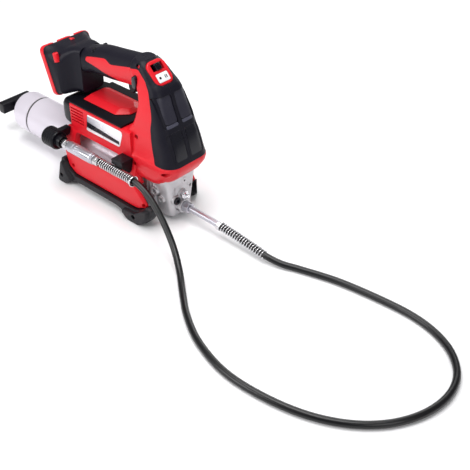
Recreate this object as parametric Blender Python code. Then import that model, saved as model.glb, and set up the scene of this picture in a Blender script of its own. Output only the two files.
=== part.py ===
"""Cordless grease gun: motor housing, grip, pump head, grease barrel, whip hose and coupler.

Every size below is in millimetres. new_piece() and new_tool() turn them into metres.
+X points from the barrel to the pump outlet, +Z is up, and Y = 0 is the plane where the housing halves meet.
"""

import math

import bmesh
import bpy
from mathutils import Matrix, Vector

MM = 0.001
GAP = 0.3  # clearance between two pieces that touch
SPLIT = 0.15  # half of the gap between the two housing halves

# Grease barrel
BARREL_Z = 40.0
BARREL_OD = 58.0
BARREL_WALL = 1.6
BARREL_REAR_X = -118.0
BARREL_FRONT_X = 108.0
CAP_LENGTH = 42.0
CAP_WALL = 2.4
ROD_D = 8.0
ROD_REAR_X = -186.0
PISTON_FRONT_X = 101.0
PISTON_LENGTH = 11.0
SEAL_CLEARANCE = 0.3
SPRING_OD = 30.0
SPRING_WIRE = 2.4
SPRING_TURNS = 8
T_HANDLE_LENGTH = 52.0
T_HANDLE_HEIGHT = 17.0
T_HANDLE_DEPTH = 14.0

# Housing
BODY_HALF_WIDTH = 38.0
BODY_REAR_X = 3.0
BODY_FLOOR_Z = 86.0
BODY_TOP_Z = 121.7
BODY_WALL = 3.0
DECK_THICKNESS = 2.3
DECK_FRONT_X = 103.4
PANEL_HEIGHT = 5.4
GRIP_WALL = 3.2
SKIN = 2.2  # thickness of the soft grip moulded over the housing
FRAME_HALF_WIDTH = 46.0
FRAME_TOP_HALF_WIDTH = 38.0
FRAME_WALL = 5.0
FRAME_BOTTOM_Z = 18.0
FRAME_BEND_Z = 56.0
FRAME_TOP_Z = 84.0
BULKHEAD = 6.0
BAY_CLEARANCE = 1.2
CAP_REAR_X = -20.0

# Feet
FOOT_HALF_WIDTH = 55.0
RAIL_HALF_WIDTH = 50.0
RAIL_THICKNESS = 14.0
LEFT_FOOT_REACH = 197.0  # the left front foot stops where x + y comes to this

# Battery mount: a tilted rectangular mouth
RIM_X = -34.5
RIM_Z = 153.5
RIM_TILT = 18.4
RIM_HALF_HEIGHT = 33.0
RIM_HALF_WIDTH = 38.0
RIM_THICKNESS = 3.0
MOUTH_WALL = 4.5
MOUTH_DEPTH = 17.0

# Motor and gears
MOTOR_Z = 105.6
MOTOR_OD = 32.0
STATOR_BORE = 23.0
ROTOR_OD = 21.4
SHAFT_D = 5.0
PINION_SEAT_D = 3.4  # the shaft's end, under the sun gear
MOTOR_REAR_X = 16.0
MOTOR_FRONT_X = 64.0
MODULE = 0.55
SUN_TEETH = 12
PLANET_TEETH = 18
RING_TEETH = SUN_TEETH + 2 * PLANET_TEETH
RING_OD = 29.6
PLANETS = 3
GEAR_REAR_X = 77.0
GEAR_WIDTH = 10.0
PLANET_PIN_D = 3.0
CRANK_THROW = 8.0
CRANK_D = 26.0
CRANK_PIN_D = 5.0
BEARING_OD = 14.0
BEARING_WIDTH = 5.0

# Pump head
HEAD_FRONT_X = 171.0
HEAD_HALF_WIDTH = 28.0
HEAD_TOP_Z = 68.0
HEAD_BOTTOM_Z = 6.0
COLLAR_WALL = 3.7
COLLAR_REAR_X = 95.0
PLUNGER_X = 122.0
PLUNGER_D = 9.0
PLUNGER_COLLAR = 1.8  # how far the collar under the yoke stands out
OUTLET_Z = 19.0
OUTLET_TUBE_D = 8.6
OUTLET_TUBE_END_X = 234.0

# Whip hose and coupler
HOSE_D = 8.6
GUARD_CLEARANCE = 0.45
GUARD_WIRE = 1.2
GUARD_END_X = 314.0
COUPLER_STANDOFF = 22.0  # from the side of the body to the coupler's axis
COUPLER_Y = -(BODY_HALF_WIDTH + COUPLER_STANDOFF)
COUPLER_Z = 74.0
COUPLER_TIP_X = 4.0
SLEEVE_REAR_X = 22.0
SLEEVE_FRONT_X = 80.0
SLEEVE_D = 15.0
COUPLER_GUARD_END_X = 146.0
COUPLER_BORE = 3.0
HOLDER_REAR_X = -22.0
HOLDER_LENGTH = 24.0
HOLDER_OD = 27.0

# Controls
TRIGGER_PIVOT = (108.0, 0.0, 190.0)
TRIGGER_HALF_WIDTH = 8.0
TRIGGER_PIN_D = 3.0
TRIGGER_PIN_LENGTH = 22.0
LOCK_X = 119.5
LOCK_Z = 186.0
LOCK_HALF_LENGTH = 25.5
BEZEL_CENTRE = (139.5, 0.0, 197.5)
BEZEL_SLOPE = 47.7  # degrees below the horizontal
BEZEL_LENGTH = 33.0
BEZEL_HALF_WIDTH = 14.5
SELECTOR_TRAVEL = 4.0

# The neck that joins the grip to the gear housing, from the bottom up:
# height, rear edge, nose, half width, radius of the nose corners
NECK = [
    (61.0, 110.0, 168.0, 33.0, 18.0),
    (66.0, 106.0, 175.0, 36.0, 22.0),
    (76.0, 104.0, 184.0, 37.5, 22.0),
    (88.0, 104.0, 190.0, 37.5, 20.0),
    (98.0, 104.0, 187.5, 35.0, 17.0),
    (122.0, 107.0, 180.5, 33.5, 17.0),
    (132.0, 116.0, 176.5, 32.0, 16.0),
    (146.0, 122.0, 171.5, 31.0, 15.0),
    (162.0, 125.0, 165.0, 28.5, 14.0),
    (174.0, 122.0, 161.0, 26.0, 13.0),
    (183.0, 116.0, 156.5, 23.5, 12.0),
    (190.0, 110.0, 149.0, 22.0, 12.0),
    (200.0, 104.0, 139.0, 19.5, 11.0),
    (207.0, 104.0, 131.0, 16.5, 9.0),
    (211.0, 106.0, 124.0, 12.5, 6.0),
]
# The grip, from the rear to the front: station along X, height of its middle, half height, half width
GRIP = [
    (10.0, 174.0, 18.8, 17.4),
    (16.0, 176.0, 18.0, 17.0),
    (25.0, 179.0, 18.0, 17.0),
    (40.0, 181.5, 20.0, 17.0),
    (60.0, 183.5, 20.8, 17.0),
    (90.0, 187.5, 20.8, 17.0),
    (112.0, 190.0, 20.5, 17.5),
    (128.0, 190.0, 17.0, 16.0),
]
# Where the hard red housing shows between the soft grip's two parts, seen from the side
INLAY = [
    (19.0, 180.0), (21.0, 186.0), (39.0, 190.5), (58.0, 194.5), (68.0, 190.0), (88.0, 194.5), (122.0, 202.5),
    (136.0, 193.0), (145.0, 180.0), (152.0, 160.0), (154.0, 150.0), (152.0, 136.0), (157.0, 108.0),
    (161.0, 92.0),
    (230.0, 92.0), (230.0, 40.0), (-40.0, 40.0), (-40.0, 150.0), (77.0, 150.0), (77.0, 171.5), (56.0, 174.0),
    (39.0, 177.5),
]
# The lower frame that cradles the barrel, seen from the side
FRAME = [
    (-9.0, 85.4), (-9.0, 47.0), (-4.0, 27.0), (10.0, FRAME_BOTTOM_Z), (133.0, FRAME_BOTTOM_Z), (152.0, 27.0),
    (141.0, 40.0), (129.0, 52.0), (127.0, 66.0), (127.0, 92.0), (3.2, 92.0), (3.2, 85.4),
]
WINDOW = [(12.0, 82.0), (10.0, 57.0), (16.0, 50.0), (92.0, 50.0), (98.0, 57.0), (98.0, 82.0)]
# Points that the hose's axis runs through, from the pump outlet to the coupler
HOSE_ROUTE = [
    (236.0, 0.0, 17.6), (262.0, 0.0, 15.6), (290.0, 0.0, 12.2), (314.0, 0.5, 9.0), (335.0, 5.0, 5.6),
    (357.0, 13.0, 4.6),
    (405.0, 26.0, 4.6), (462.0, 33.0, 4.6), (505.0, 34.0, 4.6), (540.0, 27.0, 4.6), (570.0, 11.0, 4.6),
    (592.0, -15.0, 4.6), (600.0, -48.0, 4.6), (594.0, -84.0, 4.6), (575.0, -118.0, 4.6), (545.0, -145.0, 4.6),
    (505.0, -164.0, 4.6), (455.0, -174.0, 4.6), (405.0, -174.0, 4.6), (355.0, -160.0, 4.6),
    (315.0, -138.0, 4.6),
    (284.0, -114.0, 5.2), (258.0, -93.0, 11.0), (232.0, -77.0, 25.0), (205.0, -67.0, 44.0),
    (180.0, -61.5, 61.0),
    (160.0, COUPLER_Y, COUPLER_Z - 3.0), (140.0, COUPLER_Y, COUPLER_Z), (110.0, COUPLER_Y, COUPLER_Z),
    (SLEEVE_FRONT_X + 4.0, COUPLER_Y, COUPLER_Z),
]
HOSE_POINTS = 68

# The middle of the box around the gun, its hose and coupler left out, stands over the world's origin.
REAR_X = ROD_REAR_X - 4.0
NOSE_X = max(level[2] for level in NECK)
PLACE = Vector((
    -(REAR_X + NOSE_X) / 2,
    -(COUPLER_Y - HOLDER_OD / 2 + FOOT_HALF_WIDTH) / 2,
    0.0,
))

# The exact solver empties the housing halves and leaves the pump head open, so those are cut by this one.
CLOSED_SHELLS = "MANIFOLD"


# ---------------------------------------------------------------- making shapes

def clear_scene():
    for obj in list(bpy.data.objects):
        bpy.data.objects.remove(obj, do_unlink=True)


def material(name, colour, roughness, metallic=0.0):
    made = bpy.data.materials.new(name)
    made.use_nodes = True
    shader = made.node_tree.nodes["Principled BSDF"]
    shader.inputs["Base Color"].default_value = (*colour, 1.0)
    shader.inputs["Roughness"].default_value = roughness
    shader.inputs["Metallic"].default_value = metallic
    made.diffuse_color = (*colour, 1.0)
    return made


def linked(name, mesh):
    obj = bpy.data.objects.new(name, mesh)
    bpy.context.scene.collection.objects.link(obj)
    return obj


def new_piece(name, bm, finish, origin=(0.0, 0.0, 0.0)):
    """A node of the model. Its origin is where it turns or slides, for a piece that moves."""
    bmesh.ops.translate(bm, vec=-Vector(origin), verts=bm.verts)
    bmesh.ops.scale(bm, vec=(MM, MM, MM), verts=bm.verts)
    mesh = bpy.data.meshes.new(name)
    bm.to_mesh(mesh)
    bm.free()
    mesh.materials.append(finish)
    mesh.shade_smooth()
    mesh.set_sharp_from_angle(angle=math.radians(35))
    obj = linked(name, mesh)
    obj.location = (Vector(origin) + PLACE) * MM
    return obj


def new_tool(bm, name="tool"):
    """A hidden solid that cuts or joins another one."""
    bmesh.ops.scale(bm, vec=(MM, MM, MM), verts=bm.verts)
    mesh = bpy.data.meshes.new(name)
    bm.to_mesh(mesh)
    bm.free()
    obj = linked(name, mesh)
    obj.location = PLACE * MM
    obj.hide_render = True
    obj.display_type = "WIRE"
    return obj


def combine(obj, operation, others, solver):
    """Booleans that stay live on the object."""
    for other in others:
        modifier = obj.modifiers.new(operation.lower(), "BOOLEAN")
        modifier.operation = operation
        modifier.object = other
        modifier.solver = solver
    return obj


def cut(obj, *tools, solver="EXACT"):
    return combine(obj, "DIFFERENCE", tools, solver)


def join(obj, *tools, solver="EXACT"):
    return combine(obj, "UNION", tools, solver)


def keep(obj, *tools, solver="EXACT"):
    return combine(obj, "INTERSECT", tools, solver)


def box(low, high):
    bm = bmesh.new()
    size = Vector(high) - Vector(low)
    middle = (Vector(high) + Vector(low)) / 2
    bmesh.ops.create_cube(bm, size=1.0, matrix=Matrix.Translation(middle) @ Matrix.Diagonal((*size, 1.0)))
    return bm


def bevelled_box(low, high, radius, segments=2):
    bm = box(low, high)
    bmesh.ops.bevel(
        bm, geom=bm.edges[:], offset=radius, segments=segments, affect="EDGES", profile=0.5, material=-1
    )
    return bm


def prism(outline, low, high, axis="Y"):
    """A flat outline drawn out along an axis. The outline is (x, z) for Y, (y, z) for X and (x, y) for Z."""
    place = {
        "X": lambda a, b: (low, a, b),
        "Y": lambda a, b: (a, low, b),
        "Z": lambda a, b: (a, b, low),
    }[axis]
    along = {"X": (1, 0, 0), "Y": (0, 1, 0), "Z": (0, 0, 1)}[axis]
    bm = bmesh.new()
    face = bm.faces.new([bm.verts.new(place(a, b)) for a, b in outline])
    grown = bmesh.ops.extrude_face_region(bm, geom=[face])
    moved = [item for item in grown["geom"] if isinstance(item, bmesh.types.BMVert)]
    bmesh.ops.translate(bm, vec=Vector(along) * (high - low), verts=moved)
    bmesh.ops.recalc_face_normals(bm, faces=bm.faces)
    return bm


def turned(profile, centre=(0.0, 0.0, 0.0), direction=(1.0, 0.0, 0.0), steps=24):
    """A profile of (along, radius) points turned about an axis. It may start and end on the axis."""
    bm = bmesh.new()
    points = [bm.verts.new((radius, 0.0, along)) for along, radius in profile]
    edges = [bm.edges.new(pair) for pair in zip(points, points[1:])]
    if profile[0][1] > 0 or profile[-1][1] > 0:
        edges.append(bm.edges.new((points[-1], points[0])))
    bmesh.ops.spin(
        bm, geom=points + edges, cent=(0, 0, 0), axis=(0, 0, 1), angle=math.tau, steps=steps, use_merge=True
    )
    bmesh.ops.remove_doubles(bm, verts=bm.verts, dist=0.001)
    turn = Vector((0, 0, 1)).rotation_difference(Vector(direction)).to_matrix().to_4x4()
    bmesh.ops.transform(bm, matrix=Matrix.Translation(Vector(centre)) @ turn, verts=bm.verts)
    bmesh.ops.recalc_face_normals(bm, faces=bm.faces)
    return bm


def rod(start, end, diameter, steps=20):
    along = Vector(end) - Vector(start)
    profile = [(0.0, 0.0), (0.0, diameter / 2), (along.length, diameter / 2), (along.length, 0.0)]
    return turned(profile, start, along.normalized(), steps)


def ring(start, end, outer, inner, steps=24):
    along = Vector(end) - Vector(start)
    reach = along.length
    profile = [(0.0, inner / 2), (0.0, outer / 2), (reach, outer / 2), (reach, inner / 2)]
    return turned(profile, start, along.normalized(), steps)


def loft(rings, closed=False):
    """A skin over rings of points that all have the same count, with flat ends unless it closes on itself."""
    bm = bmesh.new()
    loops = []
    for points in rings:
        verts = [bm.verts.new(point) for point in points]
        loops.append(verts)
    count = len(loops[0])
    pairs = list(zip(loops, loops[1:])) + ([(loops[-1], loops[0])] if closed else [])
    for first, second in pairs:
        for i in range(count):
            j = (i + 1) % count
            bm.faces.new((first[i], first[j], second[j], second[i]))
    if not closed:
        bm.faces.new(loops[0])
        bm.faces.new(loops[-1])
    bmesh.ops.recalc_face_normals(bm, faces=bm.faces)
    return bm


def rounded_rectangle(low, high, radii, steps=3):
    """Corner arcs of a rectangle, anticlockwise from the lower left; radii gives each corner's radius."""
    corners = [
        ((low[0], low[1]), radii[0], 180), ((high[0], low[1]), radii[1], 270),
        ((high[0], high[1]), radii[2], 0), ((low[0], high[1]), radii[3], 90),
    ]
    points = []
    for (x, y), radius, start in corners:
        cx = x + radius if x == low[0] else x - radius
        cy = y + radius if y == low[1] else y - radius
        for step in range(steps + 1):
            angle = math.radians(start + 90 * step / steps)
            points.append((cx + radius * math.cos(angle), cy + radius * math.sin(angle)))
    return points


def oval(half_width, half_height, power=2.5, steps=20):
    """A rounded, slightly square outline around the origin."""
    points = []
    for step in range(steps):
        angle = math.tau * step / steps
        c, s = math.cos(angle), math.sin(angle)
        points.append((
            half_width * math.copysign(abs(c) ** (2 / power), c),
            half_height * math.copysign(abs(s) ** (2 / power), s),
        ))
    return points


def smooth_route(points, count):
    """Evenly spaced points on one smooth curve through the given ones."""
    route = [Vector(point) for point in points]
    padded = [2 * route[0] - route[1], *route, 2 * route[-1] - route[-2]]
    fine = []
    steps = 24
    for a, b, c, d in zip(padded, padded[1:], padded[2:], padded[3:]):
        for step in range(steps):
            t = step / steps
            fine.append(
                b + (c - a) * (t / 2) + (2 * a - 5 * b + 4 * c - d) * (t * t / 2)
                + (3 * b - a - 3 * c + d) * (t ** 3 / 2)
            )
    fine.append(route[-1])
    lengths = [0.0]
    for p, q in zip(fine, fine[1:]):
        lengths.append(lengths[-1] + (q - p).length)
    spaced = []
    index = 0
    for step in range(count):
        wanted = lengths[-1] * step / (count - 1)
        while index < len(fine) - 2 and lengths[index + 1] < wanted:
            index += 1
        share = (wanted - lengths[index]) / (lengths[index + 1] - lengths[index])
        spaced.append(fine[index].lerp(fine[index + 1], min(1.0, max(0.0, share))))
    return spaced


def swept(path, radii, sides=12, bore=0.0):
    """A round bar along a path, one radius per point. With a bore it is a tube with both ends open."""
    def rings(sizes):
        made = []
        for i, point in enumerate(path):
            ahead = path[min(i + 1, len(path) - 1)] - path[max(i - 1, 0)]
            side = ahead.cross(Vector((0, 0, 1))).normalized()
            up = side.cross(ahead).normalized()
            turns = [math.tau * k / sides for k in range(sides)]
            made.append([point + side * sizes[i] * math.cos(t) + up * sizes[i] * math.sin(t) for t in turns])
        return made
    outer = rings(radii)
    if not bore:
        return loft(outer)
    return loft(outer + rings([bore / 2] * len(path))[::-1], closed=True)


def coil(radius, wire, turns, start, end, centre, axis="X", steps=8, sides=5):
    """A round-wire compression spring as one bar along a helix."""
    path = []
    total = int(turns * steps)
    for i in range(total + 1):
        angle = math.tau * i / steps
        along = start + (end - start) * i / total
        a, b = radius * math.cos(angle), radius * math.sin(angle)
        if axis == "X":
            path.append(Vector((along, centre[0] + a, centre[1] + b)))
        else:
            path.append(Vector((centre[0] + a, centre[1] + b, along)))
    rings = []
    for i, point in enumerate(path):
        ahead = (path[min(i + 1, total)] - path[max(i - 1, 0)]).normalized()
        middle = Vector((point.x, *centre)) if axis == "X" else Vector((*centre, point.z))
        out = (point - middle).normalized()
        out = (out - ahead * out.dot(ahead)).normalized()
        other = ahead.cross(out)
        turns_of = [math.tau * k / sides for k in range(sides)]
        rings.append([point + (out * math.cos(t) + other * math.sin(t)) * wire / 2 for t in turns_of])
    return loft(rings)


def gear_outline(teeth, inside=False):
    """(radius, angle) corners of a gear's teeth. They are thin and short enough to run with some play."""
    pitch = MODULE * teeth / 2
    out = -1 if inside else 1
    tip, root = pitch + out * 0.75 * MODULE, pitch - out * 1.1 * MODULE
    step = math.tau / teeth
    corners = []
    for i in range(teeth):
        middle = i * step
        for radius, share in ((root, -0.30), (tip, -0.12), (tip, 0.12), (root, 0.30)):
            corners.append((radius, middle + share * step))
    return corners


def gear(teeth, bore, phase, centre, low, high):
    """A spur gear along X. phase is the angle of its first tooth, in turns of one tooth."""
    shift = math.tau * phase / teeth
    corners = [(radius, turn + shift) for radius, turn in gear_outline(teeth)]
    outline = [(centre[0] + r * math.cos(a), centre[1] + r * math.sin(a)) for r, a in corners]
    hole = [(centre[0] + bore / 2 * math.cos(a), centre[1] + bore / 2 * math.sin(a)) for r, a in corners]
    rings = [
        [(low, *p) for p in outline], [(high, *p) for p in outline],
        [(high, *p) for p in hole], [(low, *p) for p in hole],
    ]
    return loft(rings, closed=True)


# ---------------------------------------------------------------- housing

def neck_ring(level, inset):
    z, rear, nose, half, corner = level
    rear, nose, half = rear + inset, nose - inset, half - inset
    corner = max(2.0, min(corner - inset, half - 0.5))
    back = max(1.5, min(8.0 - inset / 2, half - 0.5))
    outline = rounded_rectangle((rear, -half), (nose, half), (back, corner, corner, back))
    return [(x, y, z) for x, y in outline]


def neck(inset):
    levels = list(NECK)
    rings = [neck_ring(level, inset) for level in levels]
    if inset:
        rings[0] = [(x, y, z + inset) for x, y, z in rings[0]]
        rings[-1] = [(x, y, z - inset) for x, y, z in rings[-1]]
    return loft(rings)


def grip(inset):
    rings = []
    for x, middle, tall, wide in GRIP:
        rings.append([(x, y, middle + z) for y, z in oval(wide - inset, tall - inset)])
    return loft(rings)


def body_section(inset):
    half = BODY_HALF_WIDTH - inset
    floor, top = BODY_FLOOR_Z + inset, BODY_TOP_Z - inset
    right = [(half - 3.0, floor), (half, floor + 4.0), (half, top - 1.5), (half - 1.5, top)]
    return right + [(-y, z) for y, z in reversed(right)]


def body():
    return prism(body_section(0.0), BODY_REAR_X, DECK_FRONT_X + 17.0, "X")


def frame_half_width(z):
    """The frame is upright up to its bend, and then leans in to the body."""
    share = min(1.0, max(0.0, (z - FRAME_BEND_Z) / (FRAME_TOP_Z - FRAME_BEND_Z)))
    return FRAME_HALF_WIDTH + share * (FRAME_TOP_HALF_WIDTH - FRAME_HALF_WIDTH)


def frame():
    """The lower frame's two side walls, joined by a bulkhead behind and in front of the barrel bay."""
    bm = prism(FRAME, -FRAME_HALF_WIDTH, FRAME_HALF_WIDTH)
    rims = [edge for edge in bm.edges if abs(edge.verts[0].co.y - edge.verts[1].co.y) < 0.01]
    bmesh.ops.bevel(bm, geom=rims, offset=3.0, segments=1, affect="EDGES", profile=0.5, material=-1)
    for height in (FRAME_BEND_Z, FRAME_TOP_Z):
        everything = bm.verts[:] + bm.edges[:] + bm.faces[:]
        bmesh.ops.bisect_plane(bm, geom=everything, plane_co=(0, 0, height), plane_no=(0, 0, 1))
    for vert in bm.verts:
        vert.co.y *= frame_half_width(vert.co.z) / FRAME_HALF_WIDTH
    return bm


def bay_tools():
    """What the barrel, the pump head and the open underside take out of the frame."""
    low_half = FRAME_HALF_WIDTH - FRAME_WALL
    high_half = FRAME_TOP_HALF_WIDTH - FRAME_WALL
    head_half = HEAD_HALF_WIDTH + BAY_CLEARANCE
    rear, front = FRAME[0][0] + BULKHEAD, COLLAR_REAR_X - BULKHEAD
    head_rear = COLLAR_REAR_X - GAP
    barrel_hole = BARREL_OD + 2 * BAY_CLEARANCE
    collar_hole = BARREL_OD + 2 * COLLAR_WALL + 2 * BAY_CLEARANCE
    behind, collar_front = FRAME[0][0] - 5.0, BARREL_FRONT_X + 12.0
    return [
        new_tool(box((rear, -low_half, -5.0), (front, low_half, FRAME_BEND_Z - 2.0)), "low_bay"),
        new_tool(
            box((rear, -high_half, FRAME_BEND_Z - 4.0), (front, high_half, BODY_FLOOR_Z - BODY_WALL)), "high_bay"
        ),
        new_tool(box((head_rear, -low_half, -5.0), (170.0, low_half, 50.0)), "frame_bay"),
        new_tool(
            box((head_rear, -head_half, 20.0), (HEAD_FRONT_X + 1.0, head_half, HEAD_TOP_Z + 1.0)), "head_bay"
        ),
        new_tool(rod((behind, 0, BARREL_Z), (front + 3.0, 0, BARREL_Z), barrel_hole, 32), "barrel_hole"),
        new_tool(
            rod((front - 3.0, 0, BARREL_Z), (collar_front, 0, BARREL_Z), collar_hole, 32), "collar_hole"
        ),
        new_tool(prism(WINDOW, -60.0, 60.0), "window"),
        new_tool(box((behind, -20.0, -5.0), (COLLAR_REAR_X, 20.0, 30.0)), "underside"),
    ]


def skin_region(grown):
    """The side view of the soft grip: everything on the grip and neck apart from the inlay."""
    region = new_tool(box((6.0, -50.0, 88.5 - grown), (200.0, 50.0, 230.0)), "skin_region")
    return cut(region, new_tool(prism(INLAY, -60.0, 60.0), "inlay"), solver=CLOSED_SHELLS)


def side_tool(side):
    low, high = sorted((side * SPLIT, side * 80.0))
    return new_tool(box((-250.0, low, -20.0), (400.0, high, 260.0)), "half_space")


def vent_tools():
    tools = []
    for row in range(5):
        z = 97.0 + 4.5 * row
        tools.append(new_tool(box((8.0, -60.0, z), (27.0, 60.0, z + 2.2)), "vent"))
    return tools


LABEL = [(34.0, 93.0), (38.0, 118.0), (104.0, 118.0), (106.0, 114.0), (99.0, 93.0)]
LABEL_DEPTH = 1.1


def label_outline(inset):
    middle = Vector((70.0, 105.5))
    return [tuple(middle + (Vector(p) - middle) * (1 - inset / 30.0)) for p in LABEL]


def form(inset, name):
    whole = new_tool(neck(inset), name)
    return join(whole, new_tool(grip(inset), name + "_grip"), solver=CLOSED_SHELLS)


def make_housing(red, black):
    core = form(SKIN + GAP, "core")
    inner = form(SKIN, "inner")
    cavity = form(SKIN + GRIP_WALL, "cavity")
    skin_cut = cut(skin_region(GAP), core, solver=CLOSED_SHELLS)
    slot_half = TRIGGER_HALF_WIDTH + 0.8
    trigger_slot = new_tool(box((75.0, -slot_half, 140.0), (114.0, slot_half, 186.0)), "trigger_slot")
    lock_slot = new_tool(lock_section(0.5, 60.0))
    vents = vent_tools()
    bay = bay_tools()
    room = new_tool(prism(body_section(BODY_WALL), BODY_REAR_X - 5.0, DECK_FRONT_X + 8.6, "X"), "motor_room")
    crest = new_tool(
        box((BODY_REAR_X + 9.0, -13.0, MOTOR_Z), (DECK_FRONT_X - 1.0, 13.0, BODY_TOP_Z + 5.0)), "motor_crest"
    )
    way_low, way_high = (COLLAR_REAR_X, -20.0, HEAD_TOP_Z - 10.0), (165.0, 20.0, BODY_FLOOR_Z + 20.0)
    shaft_way = new_tool(box(way_low, way_high), "plunger_way")
    bezel_seat = new_tool(bezel_block(GAP), "bezel_seat")
    for side, word in ((-1, "right"), (1, "left")):
        half = new_piece(word + "_housing", neck(0.0), red)
        shapes = new_tool(body(), "body"), new_tool(grip(0.0), "grip"), new_tool(frame(), "frame")
        join(half, *shapes, solver=CLOSED_SHELLS)
        label_low, label_high = sorted((side * (BODY_HALF_WIDTH - LABEL_DEPTH), side * (BODY_HALF_WIDTH + 5)))
        label_cut = new_tool(prism(label_outline(0.0), label_low, label_high), "label_seat")
        hollows = [skin_cut, cavity, room, crest, shaft_way, *bay]
        openings = [*vents, label_cut, trigger_slot, lock_slot, bezel_seat]
        cut(half, *hollows, *openings, solver=CLOSED_SHELLS)
        keep(half, side_tool(side), solver=CLOSED_SHELLS)
        skin = new_piece(word + "_grip_skin", neck(0.0), black)
        join(skin, new_tool(grip(0.0), "grip"), solver=CLOSED_SHELLS)
        keep(skin, skin_region(0.0), solver=CLOSED_SHELLS)
        cut(skin, inner, bezel_seat, solver=CLOSED_SHELLS)
        keep(skin, side_tool(side), solver=CLOSED_SHELLS)


def lock_section(clearance, half_length):
    half_x, half_z = 3.6 + clearance, 8.0 + clearance
    outline = [(LOCK_X + x, LOCK_Z + z) for x, z in oval(half_x, half_z, 3.0, 16)]
    return prism(outline, -half_length, half_length)


def bezel_matrix():
    """The bezel's own axes: X down the slope, Y across, Z out of the surface."""
    down = Vector((math.cos(math.radians(BEZEL_SLOPE)), 0.0, -math.sin(math.radians(BEZEL_SLOPE))))
    out = down.cross(Vector((0, 1, 0)))
    turn = Matrix((down, Vector((0, 1, 0)), out)).transposed().to_4x4()
    return Matrix.Translation(Vector(BEZEL_CENTRE)) @ turn


def on_bezel(bm):
    bmesh.ops.transform(bm, matrix=bezel_matrix(), verts=bm.verts)
    return bm


def bezel_block(grown):
    half_length, half_width = BEZEL_LENGTH / 2 + grown, BEZEL_HALF_WIDTH + grown
    outline = rounded_rectangle((-half_length, -half_width), (half_length, half_width), (9.0,) * 4)
    return on_bezel(prism(outline, -5.0 - grown, 12.0 if grown else 2.0, "Z"))


# Plan of the raised panel on the deck, at its foot and at its crest
PANEL_FOOT = [(13.0, -25.0), (13.0, 25.0), (74.0, 25.0), (92.0, 8.0), (92.0, -8.0), (74.0, -25.0)]
PANEL_CREST = [(22.0, -9.5), (22.0, 9.5), (72.0, 9.5), (80.0, 4.0), (80.0, -4.0), (72.0, -9.5)]


def make_deck(red, black):
    base = BODY_TOP_Z + GAP
    top = base + DECK_THICKNESS
    side = BODY_HALF_WIDTH - 0.4
    shoulder = top - 1.3
    half = [(side - 1.6, top), (side, shoulder), (side, base)]
    section = [(-y, z) for y, z in reversed(half)] + half
    new_piece("deck_cover", prism(section, BODY_REAR_X, DECK_FRONT_X, "X"), black)
    levels = (PANEL_FOOT, top + GAP), (PANEL_CREST, top + GAP + PANEL_HEIGHT)
    new_piece("deck_panel", loft([[(x, y, z) for x, y in plan] for plan, z in levels]), red)


def make_covers(black, white):
    piece = new_piece("motor_rear_cap", motor_cap(0.0), black)
    cut(piece, new_tool(motor_cap(BODY_WALL), "cap_room"))
    cut(piece, new_tool(box((BODY_REAR_X - GAP, -60, 60), (60, 60, 140)), "cap_front"))
    hub = ring((CAP_REAR_X + 1.0, 0, MOTOR_Z), (-6.0, 0, MOTOR_Z), BEARING_OD + 6.0, BEARING_OD + 2 * 0.05)
    join(piece, new_tool(hub, "bearing_hub"))
    for side, word in ((-1, "right"), (1, "left")):
        low, high = sorted((side * (BODY_HALF_WIDTH - LABEL_DEPTH + GAP), side * (BODY_HALF_WIDTH + 0.1)))
        new_piece(word + "_label", prism(label_outline(GAP), low, high), white)


def motor_cap(inset):
    """The rounded rear end of the motor housing: its sections shrink towards the rear."""
    front = BODY_REAR_X + 2.0 if inset else BODY_REAR_X - GAP
    top = BODY_TOP_Z + GAP + DECK_THICKNESS
    rings = []
    for x, shrink in ((front, 0.4), (-8.0, 1.0), (-14.0, 3.0), (-18.0, 6.5), (CAP_REAR_X, 11.0)):
        x = x + (inset if x < 0 else 0)
        half_y = BODY_HALF_WIDTH - inset - shrink
        low, high = BODY_FLOOR_Z + inset + shrink, top - inset - shrink
        corner = min(8.0, (high - low) / 2 - 1.0)
        rings.append([(x, y, z) for y, z in rounded_rectangle((-half_y, low), (half_y, high), (corner,) * 4)])
    return loft(rings)


def mouth_ring(centre, tilt, half_height, half_width, low_radius, high_radius=None):
    """A rounded rectangle standing across the grip's axis, tilted back by tilt degrees."""
    lean = math.radians(tilt)
    high = high_radius or low_radius
    radii = (low_radius, low_radius, high, high)
    points = rounded_rectangle((-half_width, -half_height), (half_width, half_height), radii)
    return [(centre[0] - v * math.sin(lean), u, centre[1] + v * math.cos(lean)) for u, v in points]


def rim_point(out, up):
    """A point out of the battery mouth by out, and up along it by up."""
    lean = math.radians(RIM_TILT)
    return (
        RIM_X - out * math.cos(lean) - up * math.sin(lean),
        RIM_Z - out * math.sin(lean) + up * math.cos(lean),
    )


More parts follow.
